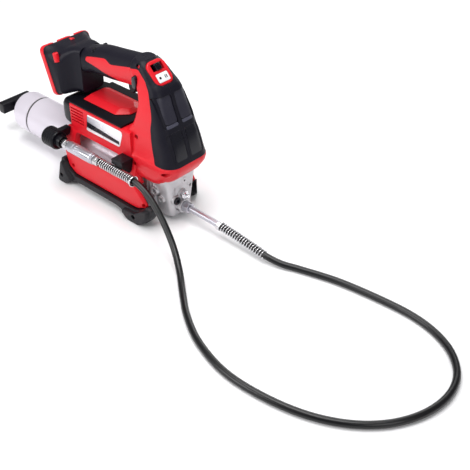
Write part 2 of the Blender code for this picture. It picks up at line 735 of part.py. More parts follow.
def make_battery_mount(red, black):
    outer = [
        mouth_ring(rim_point(-GAP, 0), RIM_TILT, RIM_HALF_HEIGHT, RIM_HALF_WIDTH, 7.0),
        mouth_ring(rim_point(-5.0, 0), RIM_TILT, RIM_HALF_HEIGHT - 0.5, RIM_HALF_WIDTH - 0.4, 7.0, 14.0),
        mouth_ring((-16.5, 156.0), 6.0, 30.5, 36.5, 8.0, 24.0),
        mouth_ring((-8.0, 158.5), 2.0, 31.5, 27.5, 9.0, 16.0),
        mouth_ring((1.0, 160.2), 0.0, 31.6, 20.0, 8.0),
        mouth_ring((9.7, 160.5), 0.0, 31.4, 17.6, 7.0),
    ]
    mount = new_piece("battery_mount", loft(outer), black)
    high, wide = RIM_HALF_HEIGHT - MOUTH_WALL, RIM_HALF_WIDTH - MOUTH_WALL
    pocket = [
        mouth_ring(rim_point(8.0, 0), RIM_TILT, high, wide, 3.0),
        mouth_ring(rim_point(-9.0, 0), RIM_TILT, high - 2.0, wide - 2.5, 9.0),
        mouth_ring(rim_point(-MOUTH_DEPTH, -1.0), RIM_TILT - 6.0, high - 4.0, wide - 13.5, 6.0),
    ]
    cut(mount, new_tool(loft(pocket), "battery_pocket"))
    cut(mount, new_tool(box((-20.0, -7.0, 160.0), (30.0, 7.0, 176.0)), "wire_way"))
    rim = new_piece("battery_rim", loft([
        mouth_ring(rim_point(RIM_THICKNESS, 0), RIM_TILT, RIM_HALF_HEIGHT + 0.8, RIM_HALF_WIDTH + 0.8, 7.5),
        mouth_ring(rim_point(0, 0), RIM_TILT, RIM_HALF_HEIGHT + 0.8, RIM_HALF_WIDTH + 0.8, 7.5),
    ]), red)
    hole = [mouth_ring(rim_point(out, 0), RIM_TILT, high, wide, 3.0) for out in (9.0, -6.0)]
    cut(rim, new_tool(loft(hole), "rim_hole"))
    x, z = rim_point(-MOUTH_DEPTH + 8.6, -1.0)
    turn = Matrix.Translation((x, 0.0, z)) @ Matrix.Rotation(math.radians(6.0 - RIM_TILT), 4, "Y")
    block = box((0, -16.0, -9.0), (8.0, 16.0, 9.0))
    bmesh.ops.transform(block, matrix=turn, verts=block.verts)
    terminals = new_piece("terminal_block", block, black)
    for y in (-10.5, -3.5, 3.5, 10.5):
        slot = box((-3.0, y - 0.9, -5.5), (5.0, y + 0.9, 5.5))
        bmesh.ops.transform(slot, matrix=turn, verts=slot.verts)
        cut(terminals, new_tool(slot, "blade_slot"))


FOOT_RAIL = [
    (-23.0, 3.0), (-19.0, 0.0), (-4.0, 0.0), (5.0, 5.0), (15.0, 9.0), (96.0, 9.0), (105.0, 6.5), (118.0, 0.0),
    (142.0, 0.0), (154.0, 7.0), (162.0, 18.0), (165.0, 30.0), (156.0, 33.0), (151.6, 26.4), (133.2, 17.7),
    (9.9, 17.7), (-4.4, 26.8), (-7.0, 38.0), (-13.0, 38.0), (-18.0, 20.0),
]
REAR_FOOT = [
    (-23.0, 3.0), (-19.0, 0.0), (-4.0, 0.0), (6.0, 5.5), (10.0, 13.0), (2.0, 20.0), (-3.0, 30.0),
    (-8.0, 37.0),
    (-13.0, 37.0), (-18.0, 20.0),
]
FRONT_FOOT = [
    (104.0, 9.0), (118.0, 0.0), (142.0, 0.0), (154.0, 7.0), (162.0, 18.0), (164.0, 30.0), (154.0, 30.0),
    (134.0, 17.0),
    (112.0, 16.0),
]


def make_feet(rubber):
    beside_frame = FRAME_HALF_WIDTH + GAP
    for side, word in ((-1, "right"), (1, "left")):
        inner = side * (RAIL_HALF_WIDTH - RAIL_THICKNESS)
        rail = new_piece(
            word + "_foot_rail", prism(FOOT_RAIL, *sorted((inner, side * RAIL_HALF_WIDTH))), rubber
        )
        for outline in (REAR_FOOT, FRONT_FOOT):
            middle = Vector((sum(p[0] for p in outline), sum(p[1] for p in outline))) / len(outline)
            shape = prism(outline, *sorted((side * beside_frame, side * FOOT_HALF_WIDTH)))
            tip = [v for v in shape.verts if abs(v.co.y) > FOOT_HALF_WIDTH - 1.0]
            lift = Matrix.Translation((-middle.x, 0.0, 0.0))
            bmesh.ops.scale(shape, vec=(0.8, 1.0, 0.86), verts=tip, space=lift)
            join(rail, new_tool(shape, "foot"))
        for x, z in ((-11.0, 12.0), (134.0, 10.0)):
            start, end = (x, side * (FOOT_HALF_WIDTH - 5.0), z), (x, side * (FOOT_HALF_WIDTH + 5.0), z)
            cut(rail, new_tool(rod(start, end, 6.5, 12), "foot_recess"))
        if side > 0:
            reach = LEFT_FOOT_REACH
            beyond = [(reach - 25.0, 25.0), (reach + 35.0, 25.0), (reach + 35.0, 85.0), (reach - 85.0, 85.0)]
            cut(rail, new_tool(prism(beyond, -5.0, 60.0, "Z"), "foot_corner"))


# ---------------------------------------------------------------- motor, gears and pump

def on_motor_axis(x):
    return (x, 0.0, MOTOR_Z)


def make_motor(steel, copper, black, brass):
    can = ring(on_motor_axis(MOTOR_REAR_X), on_motor_axis(MOTOR_FRONT_X), MOTOR_OD, STATOR_BORE, 28)
    new_piece("motor_can", can, steel)
    half = SHAFT_D / 2
    core = ROTOR_OD / 2
    seat, shaft_end = GEAR_REAR_X - GAP, GEAR_REAR_X + GEAR_WIDTH + 0.5
    new_piece("rotor", turned([
        (-14.0, 0.0), (-14.0, half), (20.0, half), (20.0, core), (60.0, core), (60.0, half),
        (seat, half), (seat, PINION_SEAT_D / 2), (shaft_end, PINION_SEAT_D / 2), (shaft_end, 0.0),
    ], on_motor_axis(0.0), steps=20), copper, on_motor_axis(0.0))
    fan = new_piece("cooling_fan", ring(on_motor_axis(5.0), on_motor_axis(12.0), 10.0, SHAFT_D + 2 * GAP, 24),
                    black, on_motor_axis(0.0))
    for blade in range(9):
        angle = math.tau * blade / 9
        place = Matrix.Translation(on_motor_axis(8.5)) @ Matrix.Rotation(angle, 4, "X")
        turn = place @ Matrix.Rotation(0.5, 4, "Z")
        wing = box((-3.0, -0.6, 4.2), (3.0, 0.6, 12.4))
        bmesh.ops.transform(wing, matrix=turn, verts=wing.verts)
        join(fan, new_tool(wing, "blade"))
    for name, x, bore in (
        ("rear_bearing", -13.0, SHAFT_D), ("front_bearing", 66.5, SHAFT_D), ("output_bearing", 95.6, 8.0),
    ):
        hole = bore + 2 * GAP
        outer = BEARING_OD if bore == SHAFT_D else BEARING_OD + 3.0
        new_piece(
            name, ring(on_motor_axis(x), on_motor_axis(x + BEARING_WIDTH), outer - 2 * GAP, hole, 24), steel
        )
    make_gears(steel, brass)


def make_gears(steel, brass):
    low, high = GEAR_REAR_X, GEAR_REAR_X + GEAR_WIDTH
    centre = (0.0, MOTOR_Z)
    new_piece("sun_gear", gear(SUN_TEETH, PINION_SEAT_D + 2 * GAP, 0.0, centre, low, high), steel, on_motor_axis(0.0))
    reach = MODULE * (SUN_TEETH + PLANET_TEETH) / 2
    carrier = new_piece("planet_carrier", turned([
        (high + 0.8, 0.0), (high + 0.8, reach + 3.0), (high + 3.6, reach + 3.0), (high + 3.6, 4.0),
        (103.6, 4.0),
        (103.6, 0.0),
    ], on_motor_axis(0.0), steps=24), steel, on_motor_axis(0.0))
    for planet in range(PLANETS):
        angle = math.tau * planet / PLANETS
        y, z = reach * math.cos(angle), MOTOR_Z + reach * math.sin(angle)
        # A tooth gap of the planet faces the sun's tooth, and a tooth of the planet faces the ring's gap.
        facing = (angle + math.pi) / math.tau * PLANET_TEETH
        new_piece(
            f"planet_gear_{planet + 1}",
            gear(PLANET_TEETH, PLANET_PIN_D + 0.6, facing + 0.5, (y, z), low, high),
            brass, (low, y, z),
        )
        join(carrier, new_tool(rod((low - 0.5, y, z), (high + 1.5, y, z), PLANET_PIN_D, 12), "planet_pin"))
    outline = gear_outline(RING_TEETH, inside=True)
    outer = RING_OD / 2
    inner = [(r * math.cos(a), MOTOR_Z + r * math.sin(a)) for r, a in outline]
    round_ = [(outer * math.cos(a), MOTOR_Z + outer * math.sin(a)) for r, a in outline]
    new_piece("ring_gear", loft([
        [(low, *p) for p in round_], [(high, *p) for p in round_], [(high, *p) for p in inner],
        [(low, *p) for p in inner],
    ], closed=True), steel)


def make_gear_case(aluminium):
    outer = RING_OD
    case = turned([
        (73.5, BEARING_OD / 2 - 3.5), (73.5, MOTOR_OD / 2), (101.5, MOTOR_OD / 2), (101.5, 5.0), (100.9, 5.0),
        (100.9, BEARING_OD / 2 + 1.5), (95.2, BEARING_OD / 2 + 1.5), (95.2, 11.0), (91.6, 12.5), (88.0, 12.5),
        (88.0, outer / 2 + GAP), (76.3, outer / 2 + GAP), (76.3, BEARING_OD / 2 - 3.5),
    ], on_motor_axis(0.0), steps=24)
    new_piece("gear_case", case, aluminium)


def make_drive(steel):
    crank = new_piece("crank_disc", turned([
        (104.0, 0.0), (104.0, CRANK_D / 2), (108.5, CRANK_D / 2), (108.5, 0.0),
    ], on_motor_axis(0.0), steps=24), steel, on_motor_axis(0.0))
    pin_end = PLUNGER_X - PLUNGER_D / 2 - PLUNGER_COLLAR - GAP
    pin = rod((107.0, CRANK_THROW, MOTOR_Z), (pin_end, CRANK_THROW, MOTOR_Z), CRANK_PIN_D, 16)
    join(crank, new_tool(pin, "crank_pin"))
    body = bevelled_box((116.5, -15.0, MOTOR_Z - 9.0), (127.5, 15.0, MOTOR_Z + 9.0), 1.5, 1)
    yoke = new_piece("crank_yoke", body, steel)
    slot = CRANK_PIN_D / 2 + GAP
    slot_y = CRANK_THROW + slot
    cut(yoke, new_tool(box((110.0, -slot_y, MOTOR_Z - slot), (135.0, slot_y, MOTOR_Z + slot)), "yoke_slot"))
    new_piece("plunger", turned([
        (34.0, 0.0), (34.0, PLUNGER_D / 2 - 0.5), (34.5, PLUNGER_D / 2), (MOTOR_Z - 12.5, PLUNGER_D / 2),
        (MOTOR_Z - 12.5, PLUNGER_D / 2 + PLUNGER_COLLAR), (MOTOR_Z - 9.3, PLUNGER_D / 2 + PLUNGER_COLLAR),
        (MOTOR_Z - 9.3, 0.0),
    ], (PLUNGER_X, 0.0, 0.0), (0.0, 0.0, 1.0), 20), steel, (PLUNGER_X, 0.0, MOTOR_Z))


BLEEDER = (0.0, 37.0)  # Y and Z of the air bleeder's axis
CHECK_PLUG = (-12.0, 31.5)
HEAD_BOLTS = [(147.5, 43.0), (157.0, 33.5)]  # X and Z of the bolt seats on each side


def make_pump_head(aluminium, steel, black, brass):
    # Plan of the cast block: narrow waist behind, broad shoulders at the front
    half = HEAD_HALF_WIDTH
    right = [
        (106.0, 2.0 - half), (128.0, -half), (HEAD_FRONT_X - 12.0, -half), (HEAD_FRONT_X - 3.0, 2.0 - half),
        (HEAD_FRONT_X, 7.0 - half),
    ]
    plan = right + [(x, -y) for x, y in reversed(right)]
    block = prism(plan, HEAD_BOTTOM_Z, HEAD_TOP_Z, "Z")
    low = [v for v in block.verts if v.co.z < HEAD_BOTTOM_Z + 1]
    bmesh.ops.scale(block, vec=(0.96, 0.68, 1.0), verts=low, space=Matrix.Translation((-118.0, 0.0, 0.0)))
    rims = [e for e in block.edges if abs(e.verts[0].co.z - e.verts[1].co.z) < 0.01]
    bmesh.ops.bevel(block, geom=rims, offset=2.5, segments=1, affect="EDGES", profile=0.5, material=-1)
    head = new_piece("pump_head", block, aluminium)
    collar_d = BARREL_OD + 2 * COLLAR_WALL
    collar = new_tool(rod((COLLAR_REAR_X, 0, BARREL_Z), (116.0, 0, BARREL_Z), collar_d, 36), "collar")
    boss = new_tool(rod((160.0, 0, OUTLET_Z), (HEAD_FRONT_X + 4.0, 0, OUTLET_Z), 20.0, 20), "outlet_boss")
    join(head, collar, boss, solver=CLOSED_SHELLS)
    socket = rod(
        (COLLAR_REAR_X - 5.0, 0, BARREL_Z), (BARREL_FRONT_X + GAP, 0, BARREL_Z), BARREL_OD + 2 * GAP, 36
    )
    beyond = HEAD_FRONT_X + 10.0
    bore_top = HEAD_TOP_Z + 10.0
    (valve_y, valve_z), (plug_y, plug_z) = BLEEDER, CHECK_PLUG
    cut(
        head,
        new_tool(socket, "barrel_socket"),
        new_tool(rod((BARREL_FRONT_X - 1, 0, BARREL_Z), (PLUNGER_X, 0, BARREL_Z), 12.0, 16), "grease_inlet"),
        new_tool(
            rod((PLUNGER_X, 0, 14.0), (PLUNGER_X, 0, bore_top), PLUNGER_D + 2 * GAP, 20), "plunger_bore"
        ),
        new_tool(rod((PLUNGER_X, 0, OUTLET_Z), (beyond, 0, OUTLET_Z), 6.0, 12), "outlet_bore"),
        new_tool(rod((162.0, 0, OUTLET_Z), (beyond, 0, OUTLET_Z), 10.6, 20), "outlet_seat"),
        new_tool(rod((160.0, valve_y, valve_z), (beyond, valve_y, valve_z), 9.0, 16), "bleeder_seat"),
        new_tool(rod((161.0, plug_y, plug_z), (beyond, plug_y, plug_z), 10.0, 16), "plug_seat"),
        new_tool(rod((PLUNGER_X, 0, 58.0), (PLUNGER_X, 0, bore_top), 16.0, 20), "seal_seat"),
        solver=CLOSED_SHELLS,
    )
    for side in (-1, 1):
        for x, z in HEAD_BOLTS:
            start, end = (x, side * 19.0, z), (x, side * (HEAD_HALF_WIDTH + 5), z)
            cut(head, new_tool(rod(start, end, 7.0, 12), "bolt_seat"), solver=CLOSED_SHELLS)
    new_piece(
        "plunger_seal", ring((PLUNGER_X, 0, 58.4), (PLUNGER_X, 0, 67.0), 15.4, PLUNGER_D + 2 * GAP, 20), brass
    )
    x, z = HEAD_BOLTS[0]
    bolt = new_piece("head_bolt", rod((x, -19.3, z), (x, -24.0, z), 6.2, 16), black)
    cut(bolt, new_tool(rod((x, -22.0, z), (x, -27.0, z), 3.4, 6), "hex_socket"))
    new_piece("check_valve_plug", turned([
        (161.4, 0.0), (161.4, 4.6), (170.0, 4.6), (170.0, 5.4), (174.0, 5.4), (174.5, 4.8), (174.5, 2.6),
        (172.0, 2.4),
        (172.0, 0.0),
    ], (0.0, plug_y, plug_z), steps=16), black)
    new_piece("bleeder_valve", turned([
        (160.4, 1.7), (160.4, 4.1), (170.8, 4.1), (171.4, 5.6), (176.0, 5.6), (176.0, 3.6), (178.0, 3.2),
        (178.0, 1.7),
    ], (0.0, valve_y, valve_z), steps=16), steel)
    new_piece("bleeder_stem", turned([
        (163.0, 0.0), (163.0, 1.3), (180.5, 1.3), (180.5, 2.6), (182.5, 2.4), (183.0, 0.0),
    ], (0.0, valve_y, valve_z), steps=12), brass, (163.0, valve_y, valve_z))


# ---------------------------------------------------------------- barrel and follower

def make_barrel(silver, steel, rubber, black):
    axis = (0.0, 0.0, BARREL_Z)
    outer = BARREL_OD / 2
    inner = outer - BARREL_WALL
    new_piece("barrel_tube", turned([
        (BARREL_REAR_X, inner), (BARREL_REAR_X, outer), (BARREL_FRONT_X, outer), (BARREL_FRONT_X, inner),
    ], axis, steps=32), silver, (0.0, 0.0, BARREL_Z))
    rear = BARREL_REAR_X - GAP
    end = rear - CAP_LENGTH
    wall = CAP_WALL
    hole = ROD_D / 2 + GAP
    dome = []
    for step in range(5):
        turn = math.radians(22.5 * step)
        dome.append((end + 17.0 * (1 - math.sin(turn)), hole + 3.0 + (outer - hole - 3.0) * math.cos(turn)))
    lining = [(x + wall, max(hole + 2.0, r - wall)) for x, r in reversed(dome)]
    profile = [(rear, outer), *dome, (end, hole), (end + wall, hole), *lining[1:], (rear, outer - wall)]
    new_piece("barrel_cap", turned(profile, axis, steps=32), silver, (0.0, 0.0, BARREL_Z))
    seal = inner - SEAL_CLEARANCE
    back = PISTON_FRONT_X - PISTON_LENGTH
    pocket = ROD_D / 2 + GAP
    new_piece("follower_piston", turned([
        (back, pocket), (back, seal - 5.0), (back + 3.0, seal - 5.0), (back + 1.0, seal), (back + 4.0, seal),
        (back + 6.5, seal - 1.2), (PISTON_FRONT_X - 2.0, seal), (PISTON_FRONT_X, seal - 2.0),
        (PISTON_FRONT_X, 0.0),
        (PISTON_FRONT_X - 3.0, 0.0), (PISTON_FRONT_X - 3.0, pocket),
    ], axis, steps=28), rubber, (0.0, 0.0, BARREL_Z))
    rod_profile = [
        (ROD_REAR_X, 0.0), (ROD_REAR_X, ROD_D / 2), (-40.0, ROD_D / 2),
        (PISTON_FRONT_X - 3.0 - GAP, ROD_D / 2),
        (PISTON_FRONT_X - 3.0 - GAP, 0.0),
    ]
    new_piece("follower_rod", turned(rod_profile, axis, steps=20), steel, (0.0, 0.0, BARREL_Z))
    spring_radius = (SPRING_OD - SPRING_WIRE) / 2
    # The spring seats where the cap's lining has opened out to the spring's own width.
    seat = SPRING_OD / 2
    (x0, r0), (x1, r1) = next(pair for pair in zip(lining, lining[1:]) if pair[1][1] > seat)
    spring_rear = x0 + (x1 - x0) * (seat - r0) / (r1 - r0) + SPRING_WIRE / 2
    spring_front = back - GAP - SPRING_WIRE / 2
    spring = coil(spring_radius, SPRING_WIRE, SPRING_TURNS, spring_rear, spring_front, (0.0, BARREL_Z))
    new_piece("follower_spring", spring, steel)
    half_length, half_height = T_HANDLE_LENGTH / 2, T_HANDLE_HEIGHT / 2
    low, high = (REAR_X, BARREL_Z - half_height), (REAR_X + T_HANDLE_DEPTH, BARREL_Z + half_height)
    bar = prism(rounded_rectangle(low, high, (4.0,) * 4), -half_length, half_length)
    handle = new_piece("pull_handle", bar, black, (0.0, 0.0, BARREL_Z))
    boss = rod((REAR_X + 8.0, 0, BARREL_Z), (REAR_X + 19.0, 0, BARREL_Z), 15.0)
    rod_hole = rod((ROD_REAR_X - GAP, 0, BARREL_Z), (ROD_REAR_X + 60.0, 0, BARREL_Z), ROD_D + 2 * GAP)
    join(handle, new_tool(boss, "handle_boss"))
    cut(handle, new_tool(rod_hole, "rod_hole"))


# ---------------------------------------------------------------- outlet, hose and coupler

def make_outlet(steel):
    new_piece("outlet_fitting", turned([
        (162.4, 2.0), (162.4, 5.0), (HEAD_FRONT_X + 4.4, 5.0), (HEAD_FRONT_X + 4.4, 7.6),
        (HEAD_FRONT_X + 12.5, 7.6),
        (HEAD_FRONT_X + 13.5, 6.4), (HEAD_FRONT_X + 13.5, 2.0),
    ], (0.0, 0.0, OUTLET_Z), steps=6), steel)
    end = HEAD_FRONT_X + 13.5 + GAP
    outer = OUTLET_TUBE_D / 2
    path = [
        Vector((end, 0, OUTLET_Z)), Vector((210.0, 0, OUTLET_Z - 0.5)), Vector((OUTLET_TUBE_END_X, 0, 17.8))
    ]
    new_piece("outlet_tube", swept(path, [outer] * 3, 12, 4.4), steel)


def hose_object(black):
    curve = bpy.data.curves.new("hose", "CURVE")
    curve.dimensions = "3D"
    curve.bevel_depth = HOSE_D / 2 * MM
    curve.bevel_resolution = 2
    curve.use_fill_caps = True
    spline = curve.splines.new("POLY")
    route = smooth_route(HOSE_ROUTE, HOSE_POINTS)
    spline.points.add(len(route) - 1)
    for point, place in zip(spline.points, route):
        point.co = (*(place * MM), 1.0)
    curve.materials.append(black)
    linked("hose", curve).location = PLACE * MM


def guard_path(low, high, count):
    """Points along the hose's own route between two X positions at one of its ends."""
    route = smooth_route(HOSE_ROUTE, 1200)
    half = len(route) // 2
    part = route[:half] if low > OUTLET_TUBE_END_X - 10 else route[half:][::-1]
    inside = [p for p in part if low <= p.x <= high]
    return [inside[round(i * (len(inside) - 1) / (count - 1))] for i in range(count)]


def make_hose(black, steel):
    hose_object(black)
    bore = HOSE_D + 2 * GUARD_CLEARANCE
    outer = bore / 2 + GUARD_WIRE
    path = guard_path(OUTLET_TUBE_END_X + 4.0, GUARD_END_X, 9)
    new_piece("outlet_spring_guard", swept(path, [outer] * len(path), 12, bore), steel)
    start = SLEEVE_FRONT_X + 4.5
    path = guard_path(start, COUPLER_GUARD_END_X, 7)
    flare = [outer + 0.4 + 1.8 * max(0.0, i - 5) for i in range(len(path))]
    new_piece("coupler_spring_guard", swept(path, flare, 12, bore), steel)


def make_coupler(steel, chrome):
    axis = (0.0, COUPLER_Y, COUPLER_Z)
    half = COUPLER_BORE / 2
    new_piece("coupler_body", turned([
        (COUPLER_TIP_X, half), (COUPLER_TIP_X, 4.6), (COUPLER_TIP_X + 2.0, 5.6), (COUPLER_TIP_X + 9.0, 6.4),
        (SLEEVE_REAR_X - GAP, 6.4), (SLEEVE_REAR_X - GAP, 5.0), (SLEEVE_FRONT_X - 6.0, 5.0),
        (SLEEVE_FRONT_X - 6.0, 6.2),
        (SLEEVE_FRONT_X + 3.4, 6.2), (SLEEVE_FRONT_X + 3.4, half),
    ], axis, steps=20), steel)
    sleeve = turned([
        (SLEEVE_REAR_X, 5.3), (SLEEVE_REAR_X, 6.6), (SLEEVE_REAR_X + 2.0, SLEEVE_D / 2),
        (SLEEVE_FRONT_X - 8.5, SLEEVE_D / 2), (SLEEVE_FRONT_X - 6.8, 6.9), (SLEEVE_FRONT_X - 6.3, 5.3),
    ], axis, steps=24)
    new_piece("coupler_sleeve", sleeve, chrome, (SLEEVE_REAR_X, COUPLER_Y, COUPLER_Z))


def make_holders(black):
    axis = (0.0, COUPLER_Y, COUPLER_Z)
    outer = HOLDER_OD / 2
    inner = 7.2
    front = HOLDER_REAR_X + HOLDER_LENGTH
    cup = new_piece("coupler_holder", turned([
        (HOLDER_REAR_X, 0.0), (HOLDER_REAR_X, outer - 2.0), (HOLDER_REAR_X + 2.0, outer),
        (front - 2.0, outer),
        (front, outer - 1.5), (front, inner + 1.0), (front + 8.0, inner + 1.0), (front + 8.0, inner),
        (HOLDER_REAR_X + 6.0, inner), (HOLDER_REAR_X + 6.0, 0.0),
    ], axis, steps=24), black)
    seat = [(-frame_half_width(z) - GAP, z) for z in (COUPLER_Z + 1.0, FRAME_TOP_Z, COUPLER_Z + 12.0)]
    arm = prism(
        [(COUPLER_Y + 4.0, COUPLER_Z + 1.0), *seat, (COUPLER_Y + 4.0, COUPLER_Z + 12.0)], -8.5, 1.0, "X"
    )
    join(cup, new_tool(arm, "holder_arm"))
    bore = rod((HOLDER_REAR_X + 6.0, COUPLER_Y, COUPLER_Z), (30.0, COUPLER_Y, COUPLER_Z), 2 * inner, 24)
    cut(cup, new_tool(bore, "cup_bore"))
    passage = HOSE_D + 2 * GUARD_CLEARANCE + 2 * GUARD_WIRE + 2.4
    lip = COUPLER_Y - passage / 2 - 2.0
    wall = -max(FRAME_TOP_HALF_WIDTH, BODY_HALF_WIDTH) - GAP
    foot = [(-frame_half_width(z) - GAP, z) for z in (COUPLER_Z - 4.0, FRAME_TOP_Z)]
    foot += [(wall, BODY_FLOOR_Z - 2 * GAP), (wall, COUPLER_Z + 14.0)]
    hook = [
        *foot, (lip + 4.0, COUPLER_Z + 14.0), (lip, COUPLER_Z + 10.0), (lip, COUPLER_Z - 2.0),
        (COUPLER_Y, COUPLER_Z - 2.0), (COUPLER_Y + passage / 2, COUPLER_Z - 7.0),
    ]
    clip = new_piece("hose_clip", prism(hook, 104.0, 124.0, "X"), black)
    ends = (100.0, COUPLER_Y, COUPLER_Z), (130.0, COUPLER_Y, COUPLER_Z)
    cut(clip, new_tool(rod(*ends, passage, 24), "clip_passage"))


# ---------------------------------------------------------------- controls

TRIGGER = [
    (112.0, 196.0), (113.0, 184.0), (106.0, 172.0), (102.0, 163.0), (98.0, 157.0), (93.5, 156.0),
    (90.0, 160.0),
    (88.5, 168.0), (92.0, 178.0), (101.0, 188.0), (105.0, 196.0),
]


def make_trigger(black, steel, green):
    trigger = prism(TRIGGER, -TRIGGER_HALF_WIDTH, TRIGGER_HALF_WIDTH)
    rims = [e for e in trigger.edges if abs(e.verts[0].co.y - e.verts[1].co.y) < 0.01]
    bmesh.ops.bevel(trigger, geom=rims, offset=1.0, segments=1, affect="EDGES", profile=0.5, material=-1)
    lever = new_piece("trigger", trigger, black, TRIGGER_PIVOT)
    x, y, z = TRIGGER_PIVOT
    half = TRIGGER_PIN_LENGTH / 2
    hole = rod((x, -2 * half, z), (x, 2 * half, z), TRIGGER_PIN_D + 2 * GAP, 12)
    cut(lever, new_tool(hole, "pin_hole"))
    new_piece("trigger_pin", rod((x, -half, z), (x, half, z), TRIGGER_PIN_D, 12), steel)
    new_piece("trigger_spring", coil(2.4, 0.8, 4, 186.8, 197.0, (95.4, 0.0), "Z", 8, 5), steel)
    new_piece("trigger_switch", bevelled_box((60.0, -7.0, 186.6), (91.5, 7.0, 195.0), 0.8, 1), black)
    new_piece("circuit_board", box((20.0, -8.0, 176.0), (56.0, 8.0, 177.6)), green)


def make_selector(red, black, white):
    new_piece("lock_button", lock_section(0.0, LOCK_HALF_LENGTH), black, (LOCK_X, 0.0, LOCK_Z))
    bezel = new_piece("selector_bezel", bezel_block(0.0), red)
    knob_half = 4.5
    reach = knob_half + SELECTOR_TRAVEL + 0.5
    slot = on_bezel(box((-12.0, -reach, -10.0), (-2.5, reach, 10.0)))
    seat = on_bezel(box((1.0, -9.5, 1.2), (13.0, 9.5, 5.0)))
    cut(bezel, new_tool(slot, "selector_slot"), new_tool(seat, "plate_seat"))
    plate = on_bezel(box((1.0 + GAP, GAP - 9.5, 1.2 + GAP), (13.0 - GAP, 9.5 - GAP, 2.2)))
    new_piece("selector_plate", plate, white)
    knob = on_bezel(bevelled_box((-11.6, -knob_half, -4.2), (-2.9, knob_half, 4.2), 0.8, 1))
    new_piece("speed_selector", knob, black, tuple(bezel_matrix() @ Vector((-7.25, 0.0, 0.0))))


def main():
    clear_scene()
    red = material("red_plastic", (0.62, 0.02, 0.025), 0.38)
    black = material("black_plastic", (0.02, 0.02, 0.023), 0.45)
    rubber = material("grip_rubber", (0.035, 0.034, 0.04), 0.62)
    silver = material("silver_paint", (0.72, 0.72, 0.74), 0.35, 0.6)
    aluminium = material("cast_aluminium", (0.6, 0.6, 0.62), 0.45, 0.9)
    steel = material("steel", (0.55, 0.55, 0.57), 0.3, 1.0)
    chrome = material("chrome", (0.8, 0.8, 0.82), 0.12, 1.0)
    brass = material("brass", (0.72, 0.5, 0.2), 0.3, 1.0)
    copper = material("copper_windings", (0.7, 0.32, 0.16), 0.4, 0.8)
    white = material("label", (0.75, 0.75, 0.76), 0.4)
    green = material("circuit_board", (0.02, 0.2, 0.08), 0.5)
    make_housing(red, rubber)
    make_deck(red, black)
    make_covers(black, white)
    make_battery_mount(red, black)
    make_feet(rubber)
    make_motor(steel, copper, black, brass)
    make_gear_case(aluminium)
    make_drive(steel)
    make_pump_head(aluminium, steel, black, brass)
    make_barrel(silver, steel, rubber, black)
    make_outlet(steel)
    make_hose(rubber, steel)
    make_coupler(steel, chrome)
    make_holders(black)
    make_trigger(black, steel, green)
    make_selector(red, black, white)


main()
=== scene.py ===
# %% [markdown]
# # A cordless grease gun, dressed over its working frame
# A grease gun pushes thick grease from a long barrel through a cast pump head and out along a hose to a coupler.
# The working frame comes from the CAD model: every solid is already in its place, with the joints that move it.
# This lesson gives the frame its looks. A piece whose shape is right keeps its CAD mesh and gets a finish, and a
# piece that needs finer curves is modelled again here, in the same place. Sizes are in millimetres until the last
# moment, because a maker's drawing is in millimetres too.

import math

import bmesh
import bpy
from mathutils import Matrix, Vector


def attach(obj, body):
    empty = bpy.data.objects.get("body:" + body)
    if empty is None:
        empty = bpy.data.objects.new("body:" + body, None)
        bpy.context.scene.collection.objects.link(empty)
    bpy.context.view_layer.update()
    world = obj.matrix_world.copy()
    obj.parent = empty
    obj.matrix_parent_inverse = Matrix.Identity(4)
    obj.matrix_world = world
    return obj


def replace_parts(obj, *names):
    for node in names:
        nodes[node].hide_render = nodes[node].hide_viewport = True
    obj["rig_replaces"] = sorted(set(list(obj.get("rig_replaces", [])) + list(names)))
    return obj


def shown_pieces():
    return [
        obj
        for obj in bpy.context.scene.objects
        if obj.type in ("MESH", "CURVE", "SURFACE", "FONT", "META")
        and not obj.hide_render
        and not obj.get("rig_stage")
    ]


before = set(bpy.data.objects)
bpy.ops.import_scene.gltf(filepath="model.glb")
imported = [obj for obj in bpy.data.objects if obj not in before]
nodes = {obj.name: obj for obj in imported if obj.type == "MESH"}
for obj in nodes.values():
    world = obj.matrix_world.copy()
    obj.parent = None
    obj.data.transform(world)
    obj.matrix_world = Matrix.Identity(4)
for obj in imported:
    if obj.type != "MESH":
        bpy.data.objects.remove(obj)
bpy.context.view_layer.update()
MM = 0.001
PLACE = Vector((0.0, 9.25, 0.0))  # moves the drawing's centre plane to where the CAD holds it

# %% [markdown]
# ## Camera
# The gun is seen from its front right, from well above, with the hose sweeping round towards the viewer. A long
# lens keeps the barrel and the pump head in proportion. The camera's axes are written as a matrix, because three
# directions say exactly how it is held, with no roll left to chance.

# %% Camera
eye = Vector((0.8737, -0.65765, 0.690))
forward = Vector((-0.5417, 0.5912, -0.5976)).normalized()
up = Vector((-0.4037, 0.4406, 0.8018))
right = forward.cross(up).normalized()
up = right.cross(forward)
camera_data = bpy.data.cameras.new("camera")
camera_data.lens = 69.24
camera_data.sensor_width = 36.0
camera = bpy.data.objects.new("camera", camera_data)
turn = Matrix((right, up, -forward)).transposed().to_4x4()
camera.matrix_world = Matrix.Translation(eye) @ turn
bpy.context.scene.collection.objects.link(camera)
bpy.context.scene.camera = camera
print("camera stands", round(eye.length, 3), "m from the middle of the gun")

# %% [markdown]
# ## Floor and studio light
# A tool like this is shown on white. A wide pale floor, a pale world and four large soft lights give it soft
# shadows and long clean highlights. The overhead light is the strongest, as in a light tent, and the one behind
# draws a bright line along the tops of the black parts.

# %% Floor and light
scene = bpy.context.scene
scene.view_settings.view_transform = "Standard"
world = bpy.data.worlds.new("studio")
world.use_nodes = True
world.node_tree.nodes["Background"].inputs["Color"].default_value = (1.0, 0.99, 1.0, 1.0)
world.node_tree.nodes["Background"].inputs["Strength"].default_value = 0.28
scene.world = world

